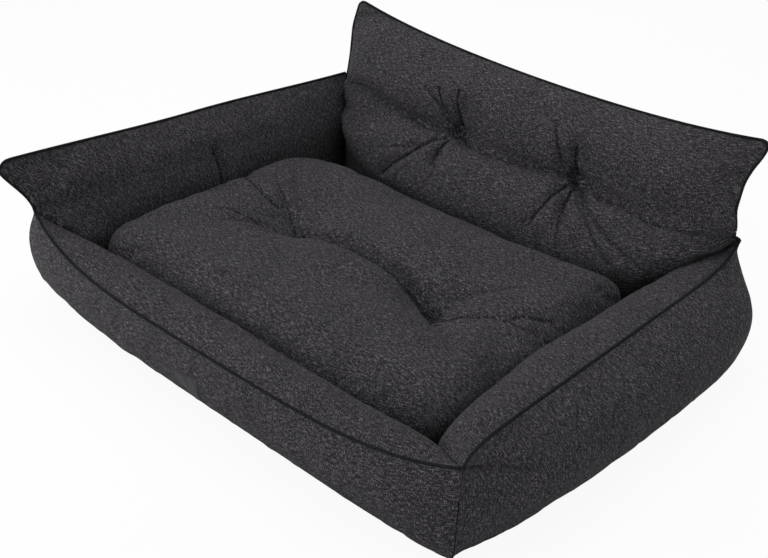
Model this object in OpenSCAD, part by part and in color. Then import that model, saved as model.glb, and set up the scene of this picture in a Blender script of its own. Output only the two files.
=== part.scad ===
// Dog sofa bed: a stuffed tub with a low front wall, a low right wall, a taller left wall and
// a tall back that folds at its tufted crease, and a loose tufted mattress with a zipped cover.
// Millimetres. The origin is the middle of the underside; +X right, +Y to the back, +Z up.
// Each wall is lofted from sections. A section point is [reach, height]: reach runs inwards
// from the straight line between two corner seams, and height runs up from the floor.

/* [Tub] */
// Length of the tub between its corner seams
tub_length = 1000; // [850:10:1200]
// Depth of the tub between its corner seams
tub_depth = 850; // [750:10:1000]
// Height of the piped rim where the low walls meet at a corner
corner_rim_h = 184; // [165:1:200]
// How far the walls reach inwards at the corners
corner_reach = 52; // [44:1:60]
// Thickness of the cover cloth with the wadding quilted to it
cover_t = 8; // [5:0.5:9]
// Diameter of the piping in the rim seam
piping_d = 5.6; // [4:0.2:8]

/* [Base] */
// Thickness of the non-slip cloth under the whole tub
under_cloth_t = 2.4; // [1.5:0.1:4]
// Thickness of the quilted pad in the floor of the tub
floor_pad_t = 12; // [8:1:16]
// How far the floor pad stays clear of the walls
floor_pad_margin = 3; // [1:0.5:8]

/* [Front wall] */
// Height of the rim at the middle of the front wall
front_rim_h = 143; // [125:1:160]
// How far the rim stands out at the middle
front_rim_out = 34; // [20:1:45]
// How far the foot of the front wall stands out at the middle
front_foot_out = 22; // [10:1:34]
// Swell of the outer panel past a straight line
front_swell = 10; // [4:1:20]
// Swell of the top panel
front_crown = 26; // [14:1:34]
// How far the front wall reaches inwards at the middle
front_reach = 72; // [62:1:84]
// Height of the front wall's inner shoulder
front_shoulder_h = 138; // [115:1:150]

/* [Right wall] */
// Height of the rim at the middle of the right wall
right_rim_h = 176; // [160:1:190]
// How far the rim stands in, near the front corner
right_rim_in = 26; // [12:1:34]
// How far the rim stands out, near the back corner
right_rim_out = 8; // [0:1:16]
// How far the foot of the right wall stands out at the middle
right_foot_out = 58; // [30:1:66]
// Swell of the outer panel past a straight line
right_swell = 49; // [25:1:55]
// Swell of the top panel
right_crown = 20; // [10:1:28]
// How far the right wall reaches inwards at the middle
right_reach = 108; // [90:1:120]
// Height of the right wall's inner shoulder
right_shoulder_h = 146; // [125:1:158]

/* [Left wall] */
// Height of the rim at the front end of the left wall
left_front_rim_h = 300; // [270:1:320]
// Height of the rim at the back end of the left wall
left_back_rim_h = 256; // [250:1:272]
// How far the rim leans out at the front end
left_front_lean = 28; // [15:1:40]
// How far the rim stands in at the back end
left_back_lean_in = 8; // [0:1:14]
// Swell of the outer panel past a straight line
left_swell = 30; // [15:1:40]
// Swell of the inner panel
left_crown = 16; // [8:1:22]
// How far the left wall reaches inwards at the middle
left_reach = 60; // [52:1:72]
// Height of the left wall's inner shoulder
left_shoulder_h = 130; // [110:1:150]
// How far the front ear of the left wall hangs over the corner
left_ear = 42; // [15:1:48]

/* [Back] */
// Height of the fold crease above the floor
crease_h = 228; // [222:1:245]
// Reach of the fold crease from the back corner line
crease_reach = 37; // [30:1:50]
// Thickness of the back along the fold crease
crease_t = 84; // [70:1:92]
// How far a tuft pulls each face in along the crease
tuft_pull = 22; // [14:1:26]
// Half the length of crease that a tuft pulls in
tuft_spread = 34; // [24:1:50]
// Lean of the folding upper part away from upright, in degrees
upper_lean = 22; // [16:1:28]
// Length of the upper part at its middle, from crease to rim
upper_length = 158; // [140:1:190]
// Extra length of the upper part at its two ears
upper_ear_rise = 26; // [10:1:34]
// Gap between a corner seam and the upper part, at the crease
upper_end_gap = 46; // [40:1:60]
// Swell of the upper part's front face
upper_front_swell = 26; // [14:1:32]
// Swell of the upper part's back face
upper_back_swell = 22; // [10:1:30]
// Reach of the lower part inwards, at its middle
lower_reach = 180; // [160:1:195]
// Height at which the lower part reaches furthest
lower_belly_h = 118; // [100:1:130]
// Swell of the lower part's outer panel
lower_swell = 30; // [15:1:38]
// Swell of the lower part's front panel, between the crease and its furthest reach
lower_front_swell = 30; // [12:1:36]
// How far the upper part folds forwards, in degrees
fold_forward = 20; // [5:1:24]
// How far the upper part folds backwards, in degrees
fold_back = 12; // [5:1:16]

/* [Mattress] */
// Height of the mattress at its crown, above the floor pad
mattress_h = 138; // [120:1:150]
// Height of the widest line of its side above the floor pad
mattress_belly_h = 58; // [48:1:66]
// Gap left between the mattress and the walls
mattress_gap = 1; // [0.5:0.25:4]
// How far each side pulls in between its corners
mattress_draw = 3; // [1:0.5:5]
// Radius of the mattress corners
mattress_corner_r = 92; // [60:1:120]
// Depth of a tuft below the crown
tuft_depth = 50; // [35:1:60]
// Depth of the fold between the two tufts, below the crown
valley_depth = 28; // [15:1:34]
// Depth of the creases that run out from the tufts
crease_depth = 8; // [3:1:10]

/* [Tuft ties] */
// Diameter of a tuft tie
tie_d = 3; // [2:0.2:4]
// Diameter of the stitched disc at each end of a tie
tie_disc_d = 11; // [8:0.5:13]
// Thickness of that disc
tie_disc_t = 1.6; // [1:0.2:2.4]

/* [Zip] */
// Length of the zip in the back side of the mattress cover
zip_length = 450; // [300:10:500]
// Width of the zip tape
zip_tape_w = 12; // [11:0.5:14]
// Thickness of the zip tape
zip_tape_t = 1.2; // [0.8:0.1:1.6]
// Height of the zip's middle above the floor pad
zip_h = 26; // [24:1:30]
// Radius of the zip coil
coil_r = 1.6; // [1.2:0.1:2]
// Length of the slider
slider_l = 11; // [9:0.5:14]
// Length of the pull tab
pull_l = 15; // [12:0.5:18]

/* [Label] */
// Width of the bare label patch on the front wall
label_w = 62; // [40:1:80]
// Height of the label patch
label_h = 44; // [25:1:50]
// Thickness of the label patch
label_t = 1.1; // [0.8:0.1:1.6]
// Height of the label's middle above the floor
label_z = 61; // [50:1:80]
// How far left of the middle the label sits
label_offset = 38; // [0:1:80]

/* [Hidden] */

cloth_colour = "#3b3b3e";
cloth_dark_colour = "#323235";
piping_colour = "#1c1b1d";
label_colour = "#2b2a2c";
under_colour = "#222224";
fill_colour = "#e9e7e0";
thread_colour = "#262527";
metal_colour = "#6f7074";

seat_gap = 0.3;          // clearance between soft pieces that rest on each other
corner_gap = 0.2;        // half the gap between two walls at a corner seam
overrun = 1;             // how far a cut runs past what it cuts
piping_r = piping_d / 2;
wall_base = under_cloth_t;
pad_top = under_cloth_t + floor_pad_t;
mattress_base = pad_top + seat_gap;
piping_sides = 8;
round_fn = 32;

// Shares of a wall's length at which it has a section, closer together near the corners
wall_shares = [0, 0.012, 0.04, 0.085, 0.15, 0.23, 0.32, 0.41, 0.5,
    0.59, 0.68, 0.77, 0.85, 0.915, 0.96, 0.988, 1];
fill_shares = [0.012, 0.085, 0.23, 0.41, 0.59, 0.77, 0.915, 0.988];
// Share u of a core, whose ends draw in a little where d takes it inside the hollow of its cover
function core_share(u, d) = mix(1 / 2, u, 1 - 4 * (d - cover_t) / tub_length);
// Shares of the back's length, with sections at the two tufts
tuft_shares = [0.39, 0.675];
back_shares = [0, 0.012, 0.035, 0.07, 0.12, 0.18, 0.245, 0.31, 0.355, 0.375, 0.39, 0.405, 0.425,
    0.475, 0.5325, 0.59, 0.64, 0.66, 0.675, 0.69, 0.71, 0.755, 0.81, 0.86, 0.905, 0.94, 0.968,
    0.988, 1];
back_fill_shares = [0.012, 0.07, 0.18, 0.31, 0.375, 0.39, 0.405, 0.475, 0.5325, 0.59, 0.66,
    0.675, 0.69, 0.755, 0.86, 0.94, 0.988];

function mix(a, b, t) = a + (b - a) * t;
function clamp01(t) = min(1, max(0, t));
function ease(t) = let (c = clamp01(t)) c * c * (3 - 2 * c);
// Zero at both ends of a wall and one at its middle; a higher power fills out sooner
function fullness(u, power) = 1 - pow(abs(2 * u - 1), power);
function left_of(v) = [-v[1], v[0]] / norm(v);

// Point at share t of the bowed line from a to b
function bowed(a, b, t, swell) = mix(a, b, t) + left_of(b - a) * swell * sin(180 * t);
// Closed section through key points, each stretch bowed and cut in its own count of steps
function section(keys, swells, steps) = concat(
    [for (k = [0:len(steps) - 1]) for (i = [0:steps[k] - 1])
        bowed(keys[k], keys[k + 1], i / steps[k], swells[k])],
    [keys[len(steps)]]);
// Section moved inwards by d square to its own edges
function inset(ring, d) = [for (i = [0:len(ring) - 1])
    let (n = len(ring), before = ring[(i + n - 1) % n], here = ring[i], after = ring[(i + 1) % n],
        n1 = -left_of(here - before), n2 = -left_of(after - here), m = (n1 + n2) / norm(n1 + n2))
    here + m * d / max(0.5, m * n1)];

// End face of a ring of n points: a fan about the extra point c, or strips across from the tip
function fan(n, c) = [for (i = [0:n - 1]) [c, i, (i + 1) % n]];
function strips(n, tip) = [for (k = [0:floor(n / 2) - 1])
    let (a = tip - k, b = (a - 1 + n) % n, c = (tip + k + 1) % n, d = (tip + k) % n)
    each concat(b == c ? [] : [[c, b, a]], a == d ? [] : [[a, d, c]])];
// Solid through a row of rings with equal counts of points; the rings run anticlockwise about the
// way from the first to the last. A flat end ring takes a fan, one that isn't flat has a tip.
module loft(rings, tip = undef) {
    n = len(rings[0]);
    m = len(rings);
    function middle_of(ring) = [for (p = ring) 1] * ring / n;
    points = [for (r = rings) for (p = r) p];
    middles = is_undef(tip) ? [middle_of(rings[0]), middle_of(rings[m - 1])] : [];
    sides = [for (j = [0:m - 2]) for (i = [0:n - 1])
        let (a = j * n + i, b = j * n + (i + 1) % n, c = a + n, d = b + n)
        each [[a, c, b], [b, c, d]]];
    first = is_undef(tip) ? fan(n, m * n) : strips(n, tip);
    last = is_undef(tip) ? fan(n, n + 1) : strips(n, tip);
    caps = concat(first, [for (f = last) [f[2], f[1], f[0]] + (m - 1) * n * [1, 1, 1]]);
    polyhedron(concat(points, middles), concat(sides, caps), convexity = 6);
}
// The same for wall sections, which run clockwise about the wall; a tipped one has its rim halfway
module wall_loft(rings, tipped = false) {
    loft([for (r = rings) [for (i = [len(r) - 1:-1:0]) r[i]]],
        tipped ? floor(len(rings[0]) / 2) : undef);
}

// Round tube along a path; up is any direction that the path never takes
function tube_ring(path, i, r, up) =
    let (t = path[min(i + 1, len(path) - 1)] - path[max(i - 1, 0)],
        x = cross(up, t) / norm(cross(up, t)), y = cross(t, x) / norm(t))
    [for (k = [0:piping_sides - 1]) path[i] + r * (x * cos(360 * k / piping_sides)
        + y * sin(360 * k / piping_sides))];
module tube(path, r, up) {
    loft([for (i = [0:len(path) - 1]) tube_ring(path, i, r, up)]);
}
// Path moved sideways by d, square to its own way and to up
function beside(path, d, up) = [for (i = [0:len(path) - 1])
    let (here = path[i], before = path[max(i - 1, 0)], after = path[min(i + 1, len(path) - 1)],
        t1 = i > 0 ? here - before : after - here, t2 = i < len(path) - 1 ? after - here : t1,
        n1 = cross(up, t1) / norm(cross(up, t1)), n2 = cross(up, t2) / norm(cross(up, t2)),
        m = (n1 + n2) / norm(n1 + n2))
    here + m * d / (m * n1)];

// A section point at share u along a wall; ears hang over the corners by e0 and e1
function along(u, p, length, e0 = 0, e1 = 0) =
    [mix(corner_gap + max(p[0], 0) - e0, length - corner_gap - max(p[0], 0) + e1, u), p[0], p[1]];
function keys_at(first, middle, last, powers, u) = [for (i = [0:len(middle) - 1])
    mix(u < 1 / 2 ? first[i] : last[i], middle[i], fullness(u, powers[i]))];
function low_corner(rim_h, shoulder_h) =
    [[0, wall_base], [0, rim_h], [corner_reach, shoulder_h], [corner_reach, wall_base]];

// Places of the walls, each modelled along its own length with its reach towards +Y
module at_front() { translate([-tub_length / 2, -tub_depth / 2, 0]) children(); }
module at_right() { translate([tub_length / 2, -tub_depth / 2, 0]) rotate([0, 0, 90]) children(); }
module at_left() {
    translate([-tub_length / 2, -tub_depth / 2, 0]) mirror([1, 0, 0]) rotate([0, 0, 90]) children();
}
module at_back() { translate([-tub_length / 2, tub_depth / 2, 0]) mirror([0, 1, 0]) children(); }

// Front wall
wall_powers = [3, 4, 4, 4];
front_mid = [[-front_foot_out, wall_base], [-front_rim_out, front_rim_h],
    [front_reach, front_shoulder_h], [front_reach, wall_base]];
front_end = low_corner(corner_rim_h, front_shoulder_h);
function front_section(u, steps) = section(keys_at(front_end, front_mid, front_end, wall_powers, u),
    [front_swell, front_crown, 0] * fullness(u, 4), steps);
function front_ring(u, d = 0, steps = [5, 6, 2]) =
    [for (p = inset(front_section(u, steps), d)) along(u, p, tub_length)];
module front_shape() { wall_loft([for (u = wall_shares) front_ring(u)]); }
module front_core(d) { wall_loft([for (u = fill_shares) front_ring(core_share(u, d), d, [2, 3, 1])]); }

// Right wall
right_end = low_corner(corner_rim_h, right_shoulder_h);
right_end_reach = mix(corner_reach, right_reach, 1 / 2);
function right_mid(u) = [[-right_foot_out, wall_base],
    [mix(right_rim_in, -right_rim_out, u), right_rim_h],
    [right_reach, right_shoulder_h], [right_reach, wall_base]];
right_powers = [3, 8, 5, 5];
function right_section(u, steps) =
    section(keys_at(right_end, right_mid(u), right_end, right_powers, u),
        [right_swell, right_crown, 0] * fullness(u, 4), steps);
function right_ring(u, d = 0, steps = [6, 6, 2]) =
    [for (p = inset(right_section(u, steps), d)) along(u, p, tub_depth)];
module right_shape() { wall_loft([for (u = wall_shares) right_ring(u)]); }
module right_core(d) { wall_loft([for (u = fill_shares) right_ring(core_share(u, d), d, [3, 3, 1])]); }

// Left wall, with an ear over the front corner
left_powers = [3, 2, 4, 4];
left_first = [[0, wall_base], [-left_front_lean, left_front_rim_h],
    [corner_reach, left_shoulder_h], [corner_reach, wall_base]];
left_last = [[0, wall_base], [left_back_lean_in, left_back_rim_h],
    [corner_reach, left_shoulder_h], [corner_reach, wall_base]];
left_mid_rim = mix(left_first[1], left_last[1], 1 / 2);
left_mid = [[-left_swell / 3, wall_base], left_mid_rim,
    [left_reach, left_shoulder_h], [left_reach, wall_base]];
left_steps = 7;
left_ear_h = corner_rim_h + (left_front_rim_h - wall_base) / left_steps;
function left_overhang(p) = left_ear * ease((p[1] - left_ear_h) / (left_front_rim_h - left_ear_h));
function left_section(u, steps) =
    section(keys_at(left_first, left_mid, left_last, left_powers, u),
        [left_swell, left_crown, 0] * fullness(u, 4), steps);
function left_ring(u, d = 0, steps = [left_steps, 4, 3]) =
    [for (p = inset(left_section(u, steps), d)) along(u, p, tub_depth, left_overhang(p))];
module left_shape() { wall_loft([for (u = wall_shares) left_ring(u)], true); }
module left_core(d) { wall_loft([for (u = fill_shares) left_ring(core_share(u, d), d, [3, 3, 1])], true); }

// Back: the crease is a line along the wall, and both parts meet it with a shallow ridge
wall_up = [-sin(upper_lean), cos(upper_lean)];
wall_in = [cos(upper_lean), sin(upper_lean)];
crease = [crease_reach, crease_h];
front_ridge = tan(fold_forward / 2 + 1);
back_ridge = tan(fold_back / 2 + 1);
// How strongly the tufts pull at share u: one at a tuft, zero away from it
function tuft_at(u) = max([for (s = tuft_shares)
    exp(-pow((u - s) * tub_length / tuft_spread, 2))]);
function half_crease(u) = crease_t / 2 - tuft_pull * tuft_at(u);

// Lower part of the back
lower_end = [[0, wall_base], [0, corner_rim_h], [corner_reach / 3, corner_rim_h + piping_d],
    [corner_reach, corner_rim_h - piping_d], [corner_reach, lower_belly_h],
    [corner_reach, wall_base]];
function lower_mid(u) = let (h = half_crease(u)) [
    [-lower_swell / 3, wall_base],
    crease - wall_in * h - wall_up * h * back_ridge,
    crease - wall_up * seat_gap / 2,
    crease + wall_in * h - wall_up * h * front_ridge,
    [lower_reach, lower_belly_h], [lower_reach - lower_swell / 2, wall_base]];
lower_powers = [3, 14, 14, 14, 8, 8];
function lower_ring(u, d = 0, steps = [5, 1, 1, 5, 3]) =
    [for (p = inset(section(keys_at(lower_end, lower_mid(u), lower_end, lower_powers, u),
        [lower_swell, 0, 0, lower_front_swell, lower_swell / 6] * fullness(u, 4), steps), d))
        along(u, p, tub_length)];
module lower_shape() { wall_loft([for (u = back_shares) lower_ring(u)]); }
module lower_core(d) { wall_loft([for (u = back_fill_shares)
    lower_ring(u, d, [2, 1, 1, 2, 1])]); }

// Upper part of the back, with an ear at each end
ear_half_t = piping_r;
function upper_top(u) = crease + wall_up * (upper_length + upper_ear_rise * pow(2 * u - 1, 2)
    - piping_d * 2 * pow(clamp01((abs(2 * u - 1) - 0.94) / 0.06), 2));
function upper_keys(u) = let (h = mix(ear_half_t, half_crease(u), fullness(u, 10))) [
    crease - wall_in * h + wall_up * (seat_gap / 2 + h * back_ridge), upper_top(u),
    crease + wall_in * h + wall_up * (seat_gap / 2 + h * front_ridge),
    crease + wall_up * seat_gap / 2];
function upper_end_in(p) = upper_end_gap
    * (1 - ease(((p - crease) * wall_up / (upper_length + upper_ear_rise) - 0.2) / 0.75));
function upper_place(u, p) =
    [mix(upper_end_in(p), tub_length - upper_end_in(p), u), p[0], p[1]];
upper_steps = 6;
function upper_ring(u, d = 0, steps = [upper_steps, upper_steps, 1]) =
    [for (p = inset(section(upper_keys(u),
        [upper_back_swell * fullness(u, 8), upper_front_swell * fullness(u, 8), 0], steps), d))
        upper_place(u, p)];
module upper_shape() { wall_loft([for (u = back_shares) upper_ring(u)], true); }
module upper_core(d) {
    wall_loft([for (u = back_fill_shares) if (fullness(u, 8) > 1 / 4)
        upper_ring(core_share(u, d), d, [3, 3, 1])], true);
}

// Piping: a cord just outside the seam vertex of each section
rim_stand = piping_r + seat_gap;
rim_start_share = 0.004;
front_rim = [for (u = wall_shares) front_ring(max(u, rim_start_share), -rim_stand)[5]];
right_rim = [for (u = wall_shares) right_ring(u, -rim_stand)[6]];
// Edge of the left wall, from the front corner's rim up its ear and back along its top
left_ear_foot = let (a = left_ring(0)[left_steps - 3], b = left_ring(0)[left_steps - 2])
    mix(a, b, (corner_rim_h + piping_d - a[2]) / (b[2] - a[2]));
left_outline = concat([left_ear_foot], [for (i = [left_steps - 2:left_steps - 1]) left_ring(0)[i]],
    [for (u = wall_shares) left_ring(u)[left_steps]]);
left_rim = beside(left_outline, rim_stand, [0, -1, 0]);
// Edge of the back's upper part, from its left foot over the top to its right foot
function upper_edge(u, i) = let (ring = upper_ring(u)) (ring[i] + ring[2 * upper_steps - i]) / 2;
upper_outline = concat([for (i = [0:upper_steps - 1]) upper_edge(0, i)],
    [for (u = back_shares) upper_place(u, upper_top(u))],
    [for (i = [upper_steps - 1:-1:0]) upper_edge(1, i)]);
back_rim = beside(upper_outline, rim_stand, [0, -wall_in[0], -wall_in[1]]);
corner_rise_shares = [1, 0.988, 0.965];
back_corner = [for (u = corner_rise_shares) lower_ring(u, -rim_stand - seat_gap)[6]];

// Tuft ties of the back run through the crease, square to it, with a disc at each face
tie_r = tie_d / 2;
tie_bore_r = tie_r + seat_gap;
disc_r = tie_disc_d / 2;
back_tie_half = crease_t / 2 - tuft_pull;
tie_room_r = disc_r + (back_tie_half + tie_disc_t + overrun) * sin(fold_forward) + overrun;
module at_back_tufts() {
    for (s = tuft_shares)
        translate([corner_gap + s * (tub_length - 2 * corner_gap), crease_reach, crease_h])
            rotate([upper_lean - 90, 0, 0]) children();
}
module back_tie_rooms(r) {
    at_back_tufts() cylinder(h = crease_t * 2, r = r, center = true, $fn = round_fn);
}

module under_cloth() {
    color(under_colour) linear_extrude(under_cloth_t)
        polygon(concat(
            [for (u = wall_shares) [mix(-1, 1, u) * tub_length / 2,
                -tub_depth / 2 - front_foot_out * fullness(u, 3)]],
            [for (u = wall_shares) [tub_length / 2 + right_foot_out * fullness(u, 3),
                mix(-1, 1, u) * tub_depth / 2]],
            [for (u = wall_shares) [mix(1, -1, u) * tub_length / 2,
                tub_depth / 2 + lower_swell / 3 * fullness(u, 3)]],
            [for (u = wall_shares) [-tub_length / 2 - left_swell / 3 * fullness(u, 3),
                mix(1, -1, u) * tub_depth / 2]]));
}

pad_low = [-tub_length / 2 + left_reach, -tub_depth / 2 + front_reach]
    + floor_pad_margin * [1, 1];
pad_high = [tub_length / 2 - right_reach, tub_depth / 2 - lower_reach + lower_swell / 3]
    - floor_pad_margin * [1, 1];
module floor_pad() {
    r = mattress_corner_r / 2;
    color(cloth_dark_colour) translate([0, 0, under_cloth_t]) linear_extrude(floor_pad_t)
        hull() for (x = [pad_low[0] + r, pad_high[0] - r], y = [pad_low[1] + r, pad_high[1] - r])
            translate([x, y]) circle(r, $fn = round_fn);
}

module front_wall_cover() {
    color(cloth_colour) at_front() difference() { front_shape(); front_core(cover_t); }
}
module front_wall_fill() { color(fill_colour) at_front() front_core(cover_t + seat_gap); }
module front_rim_piping() { color(piping_colour) at_front() tube(front_rim, piping_r, [0, 1, 0]); }

module right_wall_cover() {
    color(cloth_colour) at_right() difference() { right_shape(); right_core(cover_t); }
}
module right_wall_fill() { color(fill_colour) at_right() right_core(cover_t + seat_gap); }
module right_rim_piping() { color(piping_colour) at_right() tube(right_rim, piping_r, [0, 0, 1]); }

module left_wall_cover() {
    color(cloth_colour) at_left() difference() { left_shape(); left_core(cover_t); }
}
module left_wall_fill() { color(fill_colour) at_left() left_core(cover_t + seat_gap); }
module left_rim_piping() { color(piping_colour) at_left() tube(left_rim, piping_r, [0, 1, 0]); }

module back_lower_cover() {
    recess_r = disc_r + seat_gap * 2;
    color(cloth_colour) at_back() difference() {
        lower_shape();
        lower_core(cover_t);
        at_back_tufts() {
            cylinder(h = crease_t, r = tie_bore_r, center = true, $fn = round_fn);
            for (m = [0, 1]) mirror([0, 0, m]) translate([0, 0, back_tie_half])
                cylinder(h = crease_t / 2, r = recess_r, $fn = round_fn);
        }
    }
}
module back_lower_fill() { color(fill_colour) at_back() lower_core(cover_t + seat_gap); }
module back_tuft_ties() {
    color(thread_colour) at_back() at_back_tufts() {
        cylinder(h = 2 * (back_tie_half + seat_gap), r = tie_r, center = true, $fn = round_fn);
        for (m = [0, 1]) mirror([0, 0, m]) translate([0, 0, back_tie_half + seat_gap])
            cylinder(h = tie_disc_t, r = disc_r, $fn = round_fn);
    }
}
module back_upper_cover() {
    color(cloth_colour) at_back() difference() {
        upper_shape();
        difference() { upper_core(cover_t); back_tie_rooms(tie_room_r + cover_t); }
        back_tie_rooms(tie_room_r);
    }
}
module back_upper_fill() {
    color(fill_colour) at_back() difference() {
        upper_core(cover_t + seat_gap);
        back_tie_rooms(tie_room_r + cover_t + seat_gap);
    }
}
module back_rim_piping() { color(piping_colour) at_back() tube(back_rim, piping_r, [0, 1, 0]); }
module back_corner_piping() {
    color(piping_colour) at_back() tube(back_corner, piping_r, [0, 1, 0]);
}

// Label patch, laid over the outer panel of the front wall
module label_patch() {
    u_mid = 1 / 2 - label_offset / tub_length;
    u_half = label_w / tub_length / 2;
    label_shares = [-1, -0.5, 0, 0.5, 1];
    function label_point(u, z, stand) = let (keys = keys_at(front_end, front_mid, front_end,
            wall_powers, u), t = (z - keys[0][1]) / (keys[1][1] - keys[0][1]))
        along(u, bowed(keys[0], keys[1], t, front_swell * fullness(u, 4)) - [stand, 0], tub_length);
    color(label_colour) at_front() wall_loft([for (s = label_shares) let (u = u_mid + s * u_half) concat(
        [for (k = [-1, 0, 1]) label_point(u, label_z + k * label_h / 2, seat_gap + label_t)],
        [for (k = [1, 0, -1]) label_point(u, label_z + k * label_h / 2, seat_gap)])]);
}

// Mattress: rings round its sides close in over the top to a fold between its two tufts
mattress_low = [-tub_length / 2 + left_reach + mattress_gap,
    -tub_depth / 2 + front_reach + mattress_gap];
mattress_high = [tub_length / 2 - right_reach - mattress_gap,
    tub_depth / 2 - lower_reach - mattress_gap];
mattress_mid = (mattress_low + mattress_high) / 2;
mattress_half = (mattress_high - mattress_low) / 2;
mattress_tuft_shares = [[-0.395, 0.035], [0.463, -0.075]];
mattress_tufts = [for (s = mattress_tuft_shares)
    mattress_mid + [s[0] * mattress_half[0], s[1] * mattress_half[1]]];
core_r = disc_r + seat_gap * 5;
tuft_h = mattress_h - tuft_depth;

side_steps = [6, 5];
arc_steps = 4;
// Outline: each side pulled in between two round corners, anticlockwise from the front side
function outline_side(k, d) = let (
    r = mattress_corner_r - d, h = mattress_half - [d, d], n = side_steps[k % 2],
    from = [[-h[0] + r, -h[1]], [h[0], -h[1] + r], [h[0] - r, h[1]], [-h[0], h[1] - r]][k],
    to = [[h[0] - r, -h[1]], [h[0], h[1] - r], [-h[0] + r, h[1]], [-h[0], -h[1] + r]][k],
    mid = [[h[0] - r, -h[1] + r], [h[0] - r, h[1] - r], [-h[0] + r, h[1] - r],
        [-h[0] + r, -h[1] + r]][k])
    concat([for (i = [0:n - 1]) bowed(from, to, i / n, mattress_draw)],
        [for (i = [0:arc_steps - 1]) let (a = 90 * (k - 1) + 90 * i / arc_steps)
            mid + r * [cos(a), sin(a)]]);
function outline(d) = [for (k = [0:3]) each [for (p = outline_side(k, d)) mattress_mid + p]];
// Nearest point of the fold between the tufts, as a share of the way from one to the other
function fold_share(p) = let (ab = mattress_tufts[1] - mattress_tufts[0])
    clamp01((p - mattress_tufts[0]) * ab / (ab * ab));
function fold_point(p) = mix(mattress_tufts[0], mattress_tufts[1], fold_share(p));
function core_point(p) = let (q = fold_point(p)) q + core_r * (p - q) / norm(p - q);
function fold_depth(p) = mix(tuft_depth, valley_depth, fullness(fold_share(p), 2));
// Creases run out from the tufts at these shares of the way round the outline
crease_shares = [0.31, 0.4, 0.58, 0.68, 0.79, 0.92];
function crease_at(i, n) = max([for (s = crease_shares) exp(-pow(i - round(s * n), 2) * 2)]);
// Side rings as [draw-in from the widest line, share of the belly or crown height]
foot_in_share = 0.55;
edge_in_share = 0.42;
edge_h = mix(mattress_belly_h, mattress_h, 0.72);
function side_in(h) = h < mattress_belly_h
    ? mattress_belly_h * foot_in_share * (1 - sqrt(1 - pow(1 - h / mattress_belly_h, 2)))
    : (mattress_h - mattress_belly_h) * edge_in_share
        * (1 - sqrt(1 - pow((h - mattress_belly_h) / (edge_h - mattress_belly_h), 2) * 0.9));
low_side_shares = [0, 0.14, 0.42, 0.72];
high_side_shares = [0, 0.4, 0.75, 1];
side_heights = concat([for (s = low_side_shares) s * mattress_belly_h],
    [for (s = high_side_shares) mix(mattress_belly_h, edge_h, s)]);
top_shares = [0.08, 0.19, 0.32, 0.47, 0.62, 0.76, 0.88, 0.96, 1];
function top_height(t, p) = edge_h + (mattress_h - edge_h) * sin(90 * min(1, t / 0.45))
    - fold_depth(p) * pow(clamp01((t - 0.3) / 0.7), 3);
function thinned(list, step) = [for (i = [0:step:len(list) - 1]) list[i]];
// Rings with d taken off all round, every step-th point, for the cover and what is inside it
function mattress_rings(d, side_h, top_t, step) = let (edge = outline(side_in(edge_h) + d))
    concat(
        [for (h = side_h) let (inner_h = min(max(h, d), edge_h - d))
            thinned([for (p = outline(side_in(h) + d)) [p[0], p[1], mattress_base + inner_h]], step)],
        [for (t = top_t) thinned([for (i = [0:len(edge) - 1])
            let (p = edge[i], q = mix(p, core_point(p), t))
            [q[0], q[1], mattress_base + top_height(t, p) - d - crease_depth
                * (d > 0 ? 1 : crease_at(i, len(edge)) * sin(180 * pow(t, 0.8)))]], step)]);
module mattress_shape() { loft(mattress_rings(0, side_heights, top_shares, 1)); }
module mattress_core(d) {
    difference() {
        loft(mattress_rings(d, [0, 1 / 3, 1, 1.5] * mattress_belly_h, [0.19, 0.47, 0.76, 1], 2));
        tuft_bores(tie_bore_r);
    }
}
module at_mattress_tufts() {
    for (p = mattress_tufts) translate([p[0], p[1], mattress_base]) children();
}
module tuft_bores(r) {
    at_mattress_tufts() translate([0, 0, -overrun])
        cylinder(h = mattress_h + 2 * overrun, r = r, $fn = round_fn);
}

// Zip, straight along the back side below the widest line; its own frame starts on the tape's
// outer face, with X along the zip and Y away from the mattress
zip_sink = 9;
slide_gap = 0.25;
stop_l = coil_r * 2;
slider_plate = 1.2;
slider_half_w = coil_r + slide_gap + slider_plate;
slider_top = coil_r + slide_gap + slider_plate;
lug_w = 2;
lug_l = 3.4;
pin_r = 0.6;
pin_gap = 0.05;
pull_t = 1;
pull_w = 4.4;
pin_out = slider_top + lug_l / 2 - slider_plate / 2;
zip_face = mattress_high[1] - zip_sink + zip_tape_t;
zip_x = mattress_mid[0] - zip_length / 2;
coil_l = zip_length - 2 * stop_l;
zip_travel = coil_l - slider_l - pull_l;
module at_zip() { translate([zip_x, zip_face, mattress_base + zip_h]) children(); }
module centred_block(x, y, l, t, w) { translate([x, y, -w / 2]) cube([l, t, w]); }

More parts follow.
